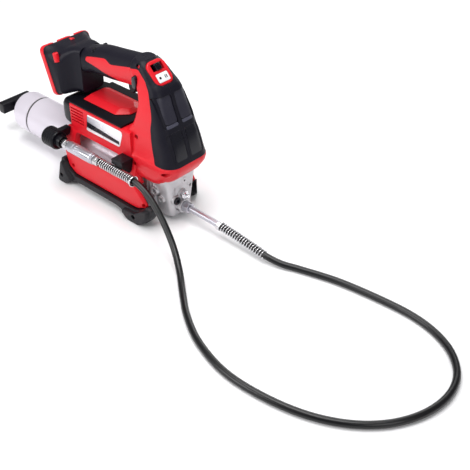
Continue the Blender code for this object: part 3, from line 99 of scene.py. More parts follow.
floor_mesh = bpy.data.meshes.new("floor")
floor_bm = bmesh.new()
bmesh.ops.create_grid(floor_bm, x_segments=1, y_segments=1, size=4.0)
floor_bm.to_mesh(floor_mesh)
floor_bm.free()
floor = bpy.data.objects.new("floor", floor_mesh)
scene.collection.objects.link(floor)
floor_paint = bpy.data.materials.new("floor_paint")
floor_paint.use_nodes = True
floor_shader = floor_paint.node_tree.nodes["Principled BSDF"]
floor_shader.inputs["Base Color"].default_value = (0.9, 0.9, 0.91, 1.0)
floor_shader.inputs["Roughness"].default_value = 0.7
floor_mesh.materials.append(floor_paint)
floor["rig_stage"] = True


def soft_light(name, place, target, size, power):
    """A square area light that looks at a point."""
    data = bpy.data.lights.new(name, "AREA")
    data.shape = "SQUARE"
    data.size = size
    data.energy = power
    lamp = bpy.data.objects.new(name, data)
    lamp.location = place
    aim = Vector(target) - Vector(place)
    lamp.rotation_euler = aim.to_track_quat("-Z", "Y").to_euler()
    scene.collection.objects.link(lamp)
    return lamp


soft_light("overhead", (0.1, -0.1, 1.5), (0.1, -0.05, 0.0), 1.1, 22.0)
soft_light("front_left", (-0.5, -1.5, 0.9), (0.0, 0.0, 0.1), 0.8, 16.0)
soft_light("front_right", (1.6, -0.5, 0.9), (0.1, 0.0, 0.1), 0.5, 5.0)
soft_light("behind", (-0.3, 1.4, 0.9), (0.0, 0.0, 0.15), 0.9, 8.0)

# %% [markdown]
# ## Shared effects
# Moulded plastic, rubber and castings share a few effects: a fine grain, edges that are slightly rounded and
# rubbed paler, and a film of dust on what faces up. Each effect is a node group, built once, and every material
# sets it with its own values. A group gives out only colours, values and normals. The shader itself stays in the
# material. Patterns read Object coordinates, so they hold their size in metres on every piece.


# %% Tools for node groups
def new_group(name, inputs, outputs):
    """An empty shader group with named sockets: inputs are (name, kind, value) and outputs are (name, kind)."""
    group = bpy.data.node_groups.new(name, "ShaderNodeTree")
    kinds = {"value": "NodeSocketFloat", "colour": "NodeSocketColor", "vector": "NodeSocketVector"}
    for label, kind, value in inputs:
        socket = group.interface.new_socket(name=label, in_out="INPUT", socket_type=kinds[kind])
        if value is not None:
            socket.default_value = value
    for label, kind in outputs:
        group.interface.new_socket(name=label, in_out="OUTPUT", socket_type=kinds[kind])
    return group, group.nodes.new("NodeGroupInput"), group.nodes.new("NodeGroupOutput")


def math_node(tree, operation, first, second=None, third=None):
    """A Math node whose inputs are sockets or plain numbers. It returns its output socket."""
    node = tree.nodes.new("ShaderNodeMath")
    node.operation = operation
    for socket, value in zip(node.inputs, (first, second, third)):
        if value is None:
            continue
        if isinstance(value, (int, float)):
            socket.default_value = value
        else:
            tree.links.new(value, socket)
    return node.outputs[0]


def mix_colour(tree, factor, first, second):
    """A Mix node for colours. Each input is a socket, a number or a colour."""
    node = tree.nodes.new("ShaderNodeMix")
    node.data_type = "RGBA"
    for socket, value in ((node.inputs[0], factor), (node.inputs[6], first), (node.inputs[7], second)):
        if isinstance(value, bpy.types.NodeSocket):
            tree.links.new(value, socket)
        elif isinstance(value, tuple):
            socket.default_value = (*value, 1.0)
        else:
            socket.default_value = value
    return node.outputs[2]


def noise(tree, scale, detail=2.0, vector=None):
    """A noise pattern on Object coordinates, or on a given vector."""
    node = tree.nodes.new("ShaderNodeTexNoise")
    node.inputs["Detail"].default_value = detail
    if isinstance(scale, bpy.types.NodeSocket):
        tree.links.new(scale, node.inputs["Scale"])
    else:
        node.inputs["Scale"].default_value = scale
    if vector is None:
        vector = tree.nodes.new("ShaderNodeTexCoord").outputs["Object"]
    tree.links.new(vector, node.inputs["Vector"])
    return node.outputs["Fac"]


# %% Effect: moulded grain
grain, grain_in, grain_out = new_group(
    "moulded_grain", [("Scale", "value", 900.0), ("Mottle Scale", "value", 35.0)],
    [("Height", "value"), ("Mottle", "value")],
)
cells = grain.nodes.new("ShaderNodeTexVoronoi")
grain.links.new(grain.nodes.new("ShaderNodeTexCoord").outputs["Object"], cells.inputs["Vector"])
grain.links.new(grain_in.outputs["Scale"], cells.inputs["Scale"])
fine = noise(grain, grain_in.outputs["Scale"], 3.0)
grain.links.new(math_node(grain, "MULTIPLY_ADD", cells.outputs["Distance"], 0.5, fine), grain_out.inputs["Height"])
grain.links.new(noise(grain, grain_in.outputs["Mottle Scale"], 4.0), grain_out.inputs["Mottle"])

# %% Effect: rubbed edges
edges, edges_in, edges_out = new_group(
    "rubbed_edges", [("Radius", "value", 0.0006), ("Amount", "value", 0.3)], [("Normal", "vector"), ("Mask", "value")]
)
soft_edge = edges.nodes.new("ShaderNodeBevel")
soft_edge.samples = 4
edges.links.new(edges_in.outputs["Radius"], soft_edge.inputs["Radius"])
true_normal = edges.nodes.new("ShaderNodeNewGeometry").outputs["Normal"]
facing = edges.nodes.new("ShaderNodeVectorMath")
facing.operation = "DOT_PRODUCT"
edges.links.new(soft_edge.outputs["Normal"], facing.inputs[0])
edges.links.new(true_normal, facing.inputs[1])
bent = math_node(edges, "SUBTRACT", 1.0, facing.outputs["Value"])
patchy = math_node(edges, "MULTIPLY", math_node(edges, "MULTIPLY", bent, 5.0), noise(edges, 240.0, 4.0))
limited = math_node(edges, "MINIMUM", math_node(edges, "MULTIPLY", patchy, edges_in.outputs["Amount"]), 1.0)
edges.links.new(soft_edge.outputs["Normal"], edges_out.inputs["Normal"])
edges.links.new(limited, edges_out.inputs["Mask"])

# %% Effect: dust that settles on top
dust, dust_in, dust_out = new_group(
    "settled_dust", [("Colour", "colour", None), ("Amount", "value", 0.08)], [("Colour", "colour"), ("Mask", "value")]
)
upward = dust.nodes.new("ShaderNodeSeparateXYZ")
dust.links.new(dust.nodes.new("ShaderNodeNewGeometry").outputs["Normal"], upward.inputs[0])
lying = math_node(dust, "MAXIMUM", upward.outputs["Z"], 0.0)
patches = math_node(dust, "MULTIPLY", lying, noise(dust, 60.0, 6.0))
dusty = math_node(dust, "MULTIPLY", patches, dust_in.outputs["Amount"])
dust.links.new(mix_colour(dust, dusty, dust_in.outputs["Colour"], (0.55, 0.53, 0.5)), dust_out.inputs["Colour"])
dust.links.new(dusty, dust_out.inputs["Mask"])

# %% Effect: fine lines left by a lathe
lathe, lathe_in, lathe_out = new_group(
    "lathe_lines", [("Stretch", "vector", (1.0, 1.0, 1.0)), ("Scale", "value", 300.0)], [("Height", "value")]
)
stretched = lathe.nodes.new("ShaderNodeVectorMath")
stretched.operation = "MULTIPLY"
lathe.links.new(lathe.nodes.new("ShaderNodeTexCoord").outputs["Object"], stretched.inputs[0])
lathe.links.new(lathe_in.outputs["Stretch"], stretched.inputs[1])
lines = noise(lathe, lathe_in.outputs["Scale"], 3.0, stretched.outputs["Vector"])
lathe.links.new(lines, lathe_out.inputs["Height"])
print("effects:", [g.name for g in bpy.data.node_groups])

# %% [markdown]
# ## Finishes
# Every material is one Principled shader with the effects plugged in: the grain's height goes through a Bump
# node, the mottle moves the roughness a little, and the rubbed edges and the dust change the colour. The numbers
# say what the finish is: red housing plastic is smooth with a faint sheen, grip rubber is dull and pebbled,
# and the pump head is a sand-like casting.


# %% A finish from its numbers
def use_group(tree, group, **values):
    node = tree.nodes.new("ShaderNodeGroup")
    node.node_tree = group
    for label, value in values.items():
        node.inputs[label.replace("_", " ")].default_value = value
    return node


def finish(
    name, colour, roughness, metallic=0.0, grain_scale=900.0, depth=0.1, swing=0.12, shade=0.06,
    worn=None, wear=0.3, radius=0.0006, dusting=0.06, stretch=None, lines_scale=300.0, coat=0.0, specular=0.5,
):
    """A material with grain, mottled roughness and colour, rubbed edges and a little dust."""
    made = bpy.data.materials.new(name)
    made.use_nodes = True
    tree = made.node_tree
    shader = tree.nodes["Principled BSDF"]
    shader.inputs["Metallic"].default_value = metallic
    shader.inputs["Specular IOR Level"].default_value = specular
    shader.inputs["Coat Weight"].default_value = coat
    shader.inputs["Coat Roughness"].default_value = 0.12
    texture = use_group(tree, grain, Scale=grain_scale)
    rim = use_group(tree, edges, Radius=radius, Amount=wear)
    dark = tuple(c * (1 - shade) for c in colour)
    light = tuple(min(1.0, c * (1 + shade)) for c in colour)
    base = mix_colour(tree, texture.outputs["Mottle"], dark, light)
    rubbed = mix_colour(tree, rim.outputs["Mask"], base, worn or tuple(min(1.0, c * 1.6 + 0.02) for c in colour))
    film = use_group(tree, dust, Amount=dusting)
    tree.links.new(rubbed, film.inputs["Colour"])
    tree.links.new(film.outputs["Colour"], shader.inputs["Base Color"])
    swung = math_node(tree, "MULTIPLY_ADD", texture.outputs["Mottle"], swing, roughness - swing / 2)
    rough = math_node(tree, "MULTIPLY_ADD", film.outputs["Mask"], 0.5, swung)
    tree.links.new(rough, shader.inputs["Roughness"])
    bump = tree.nodes.new("ShaderNodeBump")
    bump.inputs["Strength"].default_value = depth
    bump.inputs["Distance"].default_value = 0.0004
    height = texture.outputs["Height"]
    if stretch:
        height = use_group(tree, lathe, Stretch=stretch, Scale=lines_scale).outputs["Height"]
    tree.links.new(height, bump.inputs["Height"])
    tree.links.new(rim.outputs["Normal"], bump.inputs["Normal"])
    tree.links.new(bump.outputs["Normal"], shader.inputs["Normal"])
    return made


# %% Plastics and rubbers
red = finish(
    "red_housing_plastic", (0.68, 0.006, 0.016), 0.36, depth=0.05, wear=0.15, worn=(0.8, 0.05, 0.06), dusting=0.01,
    specular=0.35,
)
# A darker copy of the housing red, as painted shade: it backs the slats and colours the screws in their wells.
painted_shade_red = finish("painted_shade_red_plastic", (0.34, 0.006, 0.014), 0.5, depth=0.08, wear=0.1)
black = finish(
    "black_housing_plastic", (0.0025, 0.0025, 0.005), 0.34, depth=0.1, wear=0.25,
    worn=(0.03, 0.03, 0.04), dusting=0.006, specular=0.2,
)
rubber = finish(
    "charcoal_grip_rubber", (0.0055, 0.005, 0.011), 0.42, grain_scale=1500.0, depth=0.25, wear=0.3,
    worn=(0.03, 0.028, 0.04), radius=0.0008, dusting=0.006, specular=0.18,
)
foot_rubber = finish(
    "foot_rubber", (0.004, 0.004, 0.007), 0.45, grain_scale=1100.0, depth=0.25, radius=0.0012,
    worn=(0.03, 0.03, 0.04), dusting=0.01, specular=0.35,
)
hose_rubber = finish(
    "hose_rubber", (0.002, 0.002, 0.003), 0.3, grain_scale=1800.0, depth=0.12, wear=0.05, dusting=0.0, specular=0.4
)
seal_rubber = finish("seal_rubber", (0.02, 0.02, 0.02), 0.5, depth=0.1)
print("plastics and rubbers:", red.name, black.name, rubber.name, hose_rubber.name)

# %% Metals
silver = finish(
    "silver_barrel_paint", (0.66, 0.62, 0.69), 0.36, 0.3, grain_scale=2600.0, depth=0.06, shade=0.03, swing=0.08,
    worn=(0.8, 0.79, 0.83), wear=0.2, dusting=0.0, coat=0.25,
)
aluminium = finish(
    "cast_aluminium", (0.56, 0.55, 0.57), 0.46, 0.85, grain_scale=1300.0, depth=0.55, shade=0.16, swing=0.2,
    worn=(0.85, 0.85, 0.86), wear=0.8, radius=0.0008,
)
steel = finish(
    "machined_steel", (0.6, 0.6, 0.62), 0.26, 1.0, depth=0.12, shade=0.06, worn=(0.85, 0.85, 0.86),
    stretch=(6.0, 0.15, 0.15),
)
spring_steel = finish("spring_steel", (0.66, 0.66, 0.68), 0.24, 1.0, grain_scale=2400.0, depth=0.06, wear=0.4)
bright_steel = finish("bright_steel", (0.5, 0.5, 0.55), 0.3, 0.85, depth=0.04, shade=0.03, swing=0.05, dusting=0.0)
chrome = finish("chrome_plate", (0.82, 0.82, 0.86), 0.18, 0.95, depth=0.02, shade=0.03, swing=0.05, dusting=0.03)
brass = finish("brass", (0.72, 0.5, 0.2), 0.3, 1.0, depth=0.1, stretch=(6.0, 0.15, 0.15))
copper = finish(
    "copper_windings", (0.72, 0.3, 0.14), 0.38, 0.9, depth=0.4, stretch=(0.2, 4.0, 4.0), lines_scale=700.0
)
board = finish("circuit_board", (0.02, 0.16, 0.07), 0.42, grain_scale=700.0, depth=0.2, shade=0.3)
print("metals:", silver.name, aluminium.name, steel.name, chrome.name)

# %% [markdown]
# ## Tools for shapes
# Four ways of making a shape cover nearly the whole tool. A turned piece is a profile spun about an axis, as on a
# lathe. A drawn piece is an outline pulled out in one direction, as an extrusion is. A skinned piece is a row of
# cross-sections bridged to each other, which suits anything cast or moulded with flowing sides. And a carved piece
# starts as one of these and loses or gains others through Boolean modifiers, which are then made permanent.


# %% Turned, drawn and skinned
def turned(profile, place=(0.0, 0.0, 0.0), along=(1.0, 0.0, 0.0), steps=64):
    """A profile of (along, radius) points spun about an axis."""
    bm = bmesh.new()
    points = [bm.verts.new((radius, 0.0, reach)) for reach, radius in profile]
    run = [bm.edges.new(pair) for pair in zip(points, points[1:])]
    if profile[0][1] > 0 or profile[-1][1] > 0:
        run.append(bm.edges.new((points[-1], points[0])))
    bmesh.ops.spin(
        bm, geom=points + run, cent=(0, 0, 0), axis=(0, 0, 1), angle=math.tau, steps=steps, use_merge=True
    )
    bmesh.ops.remove_doubles(bm, verts=bm.verts, dist=0.001)
    lean = Vector((0, 0, 1)).rotation_difference(Vector(along)).to_matrix().to_4x4()
    bmesh.ops.transform(bm, matrix=Matrix.Translation(Vector(place)) @ lean, verts=bm.verts)
    bmesh.ops.recalc_face_normals(bm, faces=bm.faces)
    return bm


def rod(start, end, diameter, steps=32, inner=0.0):
    """A round bar between two points, or a tube if it has an inner diameter."""
    way = Vector(end) - Vector(start)
    profile = [(0, inner / 2), (0, diameter / 2), (way.length, diameter / 2), (way.length, inner / 2)]
    return turned(profile, start, way.normalized(), steps)


def drawn(outline, low, high, axis="Y"):
    """A flat outline pulled out along an axis: (x, z) points for Y, (y, z) for X and (x, y) for Z."""
    put = {"X": lambda a, b: (low, a, b), "Y": lambda a, b: (a, low, b), "Z": lambda a, b: (a, b, low)}[axis]
    way = {"X": Vector((1, 0, 0)), "Y": Vector((0, 1, 0)), "Z": Vector((0, 0, 1))}[axis]
    bm = bmesh.new()
    face = bm.faces.new([bm.verts.new(put(a, b)) for a, b in outline])
    pulled = bmesh.ops.extrude_face_region(bm, geom=[face])["geom"]
    moved = [item for item in pulled if isinstance(item, bmesh.types.BMVert)]
    bmesh.ops.translate(bm, vec=way * (high - low), verts=moved)
    bmesh.ops.recalc_face_normals(bm, faces=bm.faces)
    return bm


def block(low, high):
    return drawn([(low[0], low[2]), (high[0], low[2]), (high[0], high[2]), (low[0], high[2])], low[1], high[1])


def skinned(sections):
    """Cross-sections bridged one to the next, with both ends filled."""
    bm = bmesh.new()
    rings = []
    for points in sections:
        verts = [bm.verts.new(point) for point in points]
        rings.append([bm.edges.new(pair) for pair in zip(verts, verts[1:] + verts[:1])])
    for first, second in zip(rings, rings[1:]):
        bmesh.ops.bridge_loops(bm, edges=first + second)
    for end in (rings[0], rings[-1]):
        bmesh.ops.edgeloop_fill(bm, edges=end)
    bmesh.ops.recalc_face_normals(bm, faces=bm.faces)
    return bm


def softened(bm, radius, segments=2, sharper=30.0):
    """Bevels every edge that turns by more than an angle."""
    sharp = [e for e in bm.edges if len(e.link_faces) == 2 and e.calc_face_angle(0) > math.radians(sharper)]
    bmesh.ops.bevel(
        bm, geom=sharp, offset=radius, segments=segments, affect="EDGES", profile=0.5, material=-1, clamp_overlap=True
    )
    return bm


# %% Outlines
def rounded(low, high, radii, steps=8):
    """A rectangle with round corners, anticlockwise from the lower left."""
    corners = [
        ((low[0], low[1]), radii[0], 180), ((high[0], low[1]), radii[1], 270),
        ((high[0], high[1]), radii[2], 0), ((low[0], high[1]), radii[3], 90),
    ]
    points = []
    for (x, y), radius, start in corners:
        cx = x + radius if x == low[0] else x - radius
        cy = y + radius if y == low[1] else y - radius
        for step in range(steps + 1):
            angle = math.radians(start + 90 * step / steps)
            points.append((cx + radius * math.cos(angle), cy + radius * math.sin(angle)))
    return points


def oval(half_width, half_height, power=2.5, steps=48):
    points = []
    for step in range(steps):
        c, s = math.cos(math.tau * step / steps), math.sin(math.tau * step / steps)
        points.append((
            half_width * math.copysign(abs(c) ** (2 / power), c),
            half_height * math.copysign(abs(s) ** (2 / power), s),
        ))
    return points


def eased(rows, count):
    """More rows between the given ones. Each value flows smoothly from row to row and never overshoots."""
    def slope(a, b, c, column):
        before = (b[column] - a[column]) / (b[0] - a[0])
        after = (c[column] - b[column]) / (c[0] - b[0])
        return 0.0 if before * after <= 0 else 2 * before * after / (before + after)
    slopes = [[0.0] * len(row) for row in rows]
    for i in range(1, len(rows) - 1):
        slopes[i] = [slope(rows[i - 1], rows[i], rows[i + 1], c) for c in range(len(rows[0]))]
    made = []
    for i, (a, b) in enumerate(zip(rows, rows[1:])):
        reach = b[0] - a[0]
        for step in range(count):
            t = step / count
            row = [a[0] + reach * t]
            for c in range(1, len(a)):
                h = 2 * t ** 3 - 3 * t ** 2 + 1, t ** 3 - 2 * t ** 2 + t, 3 * t ** 2 - 2 * t ** 3, t ** 3 - t ** 2
                row.append(h[0] * a[c] + h[1] * reach * slopes[i][c] + h[2] * b[c] + h[3] * reach * slopes[i + 1][c])
            made.append(row)
    return made + [list(rows[-1])]


def rounded_outline(points, radius, steps=4):
    """A closed outline with each corner rounded as far as its sides allow."""
    made = []
    count = len(points)
    for i in range(count):
        a, b, c = (Vector(points[j % count]) for j in (i - 1, i, i + 1))
        reach = min(radius, (a - b).length * 0.45, (c - b).length * 0.45)
        start, end = b + (a - b).normalized() * reach, b + (c - b).normalized() * reach
        for step in range(steps + 1):
            t = step / steps
            made.append(tuple(start * (1 - t) ** 2 + b * 2 * t * (1 - t) + end * t ** 2))
    return made


# %% Carving and finishing a piece
def shape_object(bm, name="tool"):
    bmesh.ops.translate(bm, vec=PLACE, verts=bm.verts)
    bmesh.ops.scale(bm, vec=(MM, MM, MM), verts=bm.verts)
    mesh = bpy.data.meshes.new(name)
    bm.to_mesh(mesh)
    bm.free()
    made = bpy.data.objects.new(name, mesh)
    scene.collection.objects.link(made)
    return made


def made_plain(shape):
    """Makes an object's modifiers permanent."""
    bpy.context.view_layer.update()
    mesh = bpy.data.meshes.new_from_object(shape.evaluated_get(bpy.context.evaluated_depsgraph_get()))
    shape.modifiers.clear()
    shape.data = mesh
    return shape


def carve(shape, operation, tools):
    """One Boolean for each tool, which is a bmesh or an object. The tools are removed after."""
    tools = [tool if isinstance(tool, bpy.types.Object) else shape_object(tool) for tool in tools]
    for tool in tools:
        modifier = shape.modifiers.new(operation.lower(), "BOOLEAN")
        modifier.operation, modifier.object, modifier.solver = operation, tool, "MANIFOLD"
    made_plain(shape)
    for tool in tools:
        bpy.data.objects.remove(tool, do_unlink=True)
    return shape


def cut(shape, *tools):
    return carve(shape, "DIFFERENCE", tools)


def join(shape, *tools):
    return carve(shape, "UNION", tools)


def keep(shape, *tools):
    return carve(shape, "INTERSECT", tools)


def copy_of(shape):
    made = bpy.data.objects.new("copy", shape.data.copy())
    scene.collection.objects.link(made)
    return made


def settle(name, shape, paint, body="root", instead=(), sharp=32.0):
    """Names a finished piece, paints it, smooths its curves and hangs it on the body it moves with."""
    piece = shape if isinstance(shape, bpy.types.Object) else shape_object(shape)
    piece.name = piece.data.name = name
    piece.data.materials.clear()
    piece.data.materials.append(paint)
    piece.data.shade_smooth()
    piece.data.set_sharp_from_angle(angle=math.radians(sharp))
    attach(piece, body)
    if instead:
        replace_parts(piece, *instead)
    made_pieces.append(name)
    return piece


made_pieces = []
SIDES = ((-1, "right"), (1, "left"))
print("shape tools ready")

# %% [markdown]
# ## The whip hose
# The hose is a rubber-covered high-pressure tube about nine millimetres thick. It leaves the outlet tube, drops to
# the table, sweeps out in one wide loop and climbs back to the coupler, which is parked in its holder on the gun's
# side. It could be a swept mesh, but a poly curve with a round bevel is the plainest way to say "one thickness
# along one line", and it measures its own length.

# %% Hose route
HOSE_D = 8.6
COUPLER_Y, COUPLER_Z = -60.0, 74.0
HOSE_ROUTE = [
    (236, 0, 17.6), (262, 0, 15.6), (290, 0, 12.2), (314, 0.5, 9), (335, 5, 5.6), (357, 13, 4.6), (405, 26, 4.6),
    (462, 33, 4.6), (505, 34, 4.6), (540, 27, 4.6), (570, 11, 4.6), (592, -15, 4.6), (600, -48, 4.6),
    (594, -84, 4.6), (575, -118, 4.6), (545, -145, 4.6), (505, -164, 4.6), (455, -174, 4.6), (405, -174, 4.6),
    (355, -160, 4.6), (315, -138, 4.6), (284, -114, 5.2), (258, -93, 11), (232, -77, 25), (205, -67, 44),
    (180, -61.5, 61), (160, -60, 71), (140, -60, 74), (110, -60, 74), (84, -60, 74),
]


def smooth_route(points, count):
    """Evenly spaced points on one smooth curve through the given ones, and the curve's length."""
    route = [Vector(p) for p in points]
    padded = [2 * route[0] - route[1], *route, 2 * route[-1] - route[-2]]
    fine_route = []
    for a, b, c, d in zip(padded, padded[1:], padded[2:], padded[3:]):
        for step in range(24):
            t = step / 24
            fine_route.append(
                b + (c - a) * (t / 2) + (2 * a - 5 * b + 4 * c - d) * (t * t / 2)
                + (3 * b - a - 3 * c + d) * (t ** 3 / 2)
            )
    fine_route.append(route[-1])
    lengths = [0.0]
    for p, q in zip(fine_route, fine_route[1:]):
        lengths.append(lengths[-1] + (q - p).length)
    spaced, index = [], 0
    for step in range(count):
        wanted = lengths[-1] * step / (count - 1)
        while index < len(fine_route) - 2 and lengths[index + 1] < wanted:
            index += 1
        share = (wanted - lengths[index]) / (lengths[index + 1] - lengths[index])
        spaced.append(fine_route[index].lerp(fine_route[index + 1], min(1.0, max(0.0, share))))
    return spaced, lengths[-1]


route, hose_length = smooth_route(HOSE_ROUTE, 160)
hose_curve = bpy.data.curves.new("whip_hose", "CURVE")
hose_curve.dimensions = "3D"
hose_curve.bevel_depth = HOSE_D / 2 * MM
hose_curve.bevel_resolution = 5
hose_curve.use_fill_caps = True
hose_line = hose_curve.splines.new("POLY")
hose_line.points.add(len(route) - 1)
for point, place in zip(hose_line.points, route):
    point.co = (*((place + PLACE) * MM), 1.0)
hose_curve.materials.append(hose_rubber)
hose = bpy.data.objects.new("whip_hose", hose_curve)
scene.collection.objects.link(hose)
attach(hose, "root")
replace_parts(hose, "hose")
print("hose length", round(hose_length), "mm")

# %% [markdown]
# ## Spring guards
# Where the hose meets its fittings, a close-wound wire spring stops it kinking. A spring could be a ridged tube,
# but dark gaps between bright turns are what the eye reads, so each guard is a real coil: a small ring of wire
# carried along a helix that follows the hose.


# %% Coils along the hose
STEPS_PER_TURN = 20


def coil_along(low, high, near_outlet, turns, radius, wire, name, flare=0.0):
    """A round wire wound about the hose between two X positions."""
    fine_route, _ = smooth_route(HOSE_ROUTE, 1600)
    half = len(fine_route) // 2
    run = fine_route[:half] if near_outlet else fine_route[half:][::-1]
    run = [p for p in run if low <= p.x <= high]
    line = bpy.data.curves.new(name, "CURVE")
    line.dimensions = "3D"
    line.bevel_depth = wire / 2 * MM
    line.bevel_resolution = 2
    line.use_fill_caps = True
    spline = line.splines.new("POLY")
    count = int(turns * STEPS_PER_TURN)
    spline.points.add(count)
    for i in range(count + 1):
        share = i / count * (len(run) - 1)
        k = min(int(share), len(run) - 2)
        middle = run[k].lerp(run[k + 1], share - k)
        ahead = (run[k + 1] - run[k]).normalized()
        side = ahead.cross(Vector((0, 0, 1))).normalized()
        over = side.cross(ahead)
        angle = math.tau * i / STEPS_PER_TURN
        grown = radius + flare * max(0.0, i / count - 0.85) / 0.15
        place = middle + (side * math.cos(angle) + over * math.sin(angle)) * grown
        spline.points[i].co = (*((place + PLACE) * MM), 1.0)
    line.materials.append(spring_steel)
    made = bpy.data.objects.new(name, line)
    scene.collection.objects.link(made)
    return made


guard_radius = HOSE_D / 2 + 0.95
outlet_guard = coil_along(239.0, 313.0, True, 19, guard_radius, 1.5, "outlet_guard_coil")
coupler_guard = coil_along(85.5, 143.5, False, 16, guard_radius, 1.55, "coupler_guard_coil", flare=0.4)
for guard, stands_for in ((outlet_guard, "outlet_spring_guard"), (coupler_guard, "coupler_spring_guard")):
    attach(guard, "root")
    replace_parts(guard, stands_for)
print("coils:", outlet_guard.name, coupler_guard.name)

# %% Cups that hold the coils' ends
coil_cup = settle("outlet_guard_cup", rod((234.6, 0, 17.8), (240.0, 0, 17.3), 12.4, 48, 9.4), steel)
flared_end = settle("coupler_guard_mouth", turned([
    (142.6, 4.75), (142.6, 6.3), (145.4, 6.9), (146.4, 7.4), (147.4, 7.1), (147.0, 6.2), (145.0, 5.0),
], (0, COUPLER_Y, COUPLER_Z - 0.9), steps=48), spring_steel)

# %% [markdown]
# ## The coupler
# The coupler is a chromed quick connector. Its body has a stepped nose, and its long sleeve is fluted so that
# fingers can grip it. The flutes are cut by a ring of long thin rods around a turned sleeve. The nose's jaws
# show as fine slits.

# %% Coupler body and fluted sleeve
coupler_axis = (0.0, COUPLER_Y, COUPLER_Z)
coupler_body = shape_object(turned([
    (4.0, 1.5), (4.0, 4.1), (4.6, 4.6), (6.4, 5.5), (12.6, 5.9), (13.4, 6.4), (16.6, 6.4), (17.2, 5.7), (18.4, 5.7),
    (19.0, 6.4), (21.7, 6.4), (21.7, 5.0), (74.0, 5.0), (74.0, 5.6), (74.6, 6.2), (78.6, 6.2), (79.2, 5.4),
    (80.2, 5.4), (80.6, 6.0), (83.4, 6.0), (83.4, 1.5),
], coupler_axis, steps=64))
jaws = []
for k in range(4):
    spin = Matrix.Translation(coupler_axis) @ Matrix.Rotation(math.tau * (k + 0.5) / 4, 4, "X")
    slit = block((2.0, -0.35, 2.2), (12.0, 0.35, 8.0))
    bmesh.ops.transform(slit, matrix=spin, verts=slit.verts)
    jaws.append(slit)
cut(coupler_body, *jaws)
settle("coupler_nose", coupler_body, steel, instead=("coupler_body",))
sleeve = shape_object(turned([
    (22.0, 5.3), (22.0, 6.3), (22.6, 6.7), (25.2, 6.9), (25.8, 7.4), (26.2, 7.5), (33.6, 7.5), (34.0, 7.0),
    (35.6, 7.0), (36.0, 7.5), (68.6, 7.5), (69.4, 7.2), (69.8, 6.4), (71.2, 6.4), (71.6, 7.0), (73.0, 7.0),
    (73.6, 6.6), (73.6, 5.3),
], coupler_axis, steps=96))
flutes = []
for k in range(14):
    angle = math.tau * k / 14
    y, z = COUPLER_Y + 8.15 * math.cos(angle), COUPLER_Z + 8.15 * math.sin(angle)
    flutes.append(turned(
        [(0, 0), (0.9, 0.75), (2.2, 1.1), (26.8, 1.1), (28.1, 0.75), (29.0, 0)], (38.2, y, z), steps=14
    ))
cut(sleeve, *flutes)
settle("fluted_sleeve", sleeve, bright_steel, instead=("coupler_sleeve",))
print("coupler:", made_pieces[-2:])

# %% The hose and coupler are done
print("hose and coupler made")

# %% [markdown]
# ## Holder and clip
# The parked coupler sits in a ribbed cup on the gun's side, and a hook-shaped clip further forward holds the
# spring guard. Both are moulded in black plastic. The cup's ribs are turned into its profile. The clip is an outline
# drawn out along the hose, bevelled all round and bored through, and its outer side is cut away to show the coils.

# %% Ribbed cup
cup_profile = [(-22.0, 0.0), (-22.0, 10.5), (-20.5, 12.6)]
for k in range(5):
    x = -19.5 + 4.2 * k
    cup_profile += [(x, 12.8), (x + 0.5, 13.5), (x + 2.6, 13.5), (x + 3.1, 12.8)]
cup_profile += [
    (1.0, 12.6), (2.0, 12.0), (2.0, 8.2), (9.4, 8.2), (10.0, 7.9), (10.0, 7.2), (-16.0, 7.2), (-16.0, 0.0),
]
cup = shape_object(turned(cup_profile, coupler_axis, steps=96))


def frame_half_width(z):
    """The frame is upright up to its bend, and then leans in to the body."""
    return 46.0 - 8.0 * min(1.0, max(0.0, (z - 56.0) / 28.0))


arm_outline = [(-56, 75)] + [(-frame_half_width(z) - 0.3, z) for z in (75, 84, 86)] + [(-56, 86)]
join(cup, softened(drawn(arm_outline, -8.5, 1.0, "X"), 0.8))
cut(cup, rod((-16, COUPLER_Y, COUPLER_Z), (30, COUPLER_Y, COUPLER_Z), 14.4, 64))
cut(cup, rod((-24, COUPLER_Y, COUPLER_Z), (-21, COUPLER_Y, COUPLER_Z), 7.0, 32))
settle("ribbed_cup", cup, black, instead=("coupler_holder",))

# %% Hose clip
passage = HOSE_D + 0.9 + 2.4 + 2.4
hook = [(-frame_half_width(z) - 0.3, z) for z in (70, 84, 88)] + [
    (-60 - passage / 2 + 2, 88), (-62 - passage / 2, 84), (-62 - passage / 2, 72), (-60, 72), (-60 + passage / 2, 67),
]
clip = shape_object(softened(drawn(rounded_outline(hook, 2.5), 104, 124, "X"), 0.9, 3))
cut(clip, block((100, -90, 70.5), (130, -57.5, 100)))
cut(clip, rod((100, COUPLER_Y, COUPLER_Z), (130, COUPLER_Y, COUPLER_Z), passage, 64))
settle("hose_hook", clip, black, instead=("hose_clip",))
print("holders:", made_pieces[-2:])

# %% [markdown]
# ## The form of grip and neck
# The handle and the neck below it are one flowing moulding. The neck is a stack of level cross-sections and the
# grip a row of upright ovals, and more sections are eased in between the drawn ones, so that the surface has no
# facets. The same two skins, made a little smaller, give the soft grip its thickness and the housing its hollow.

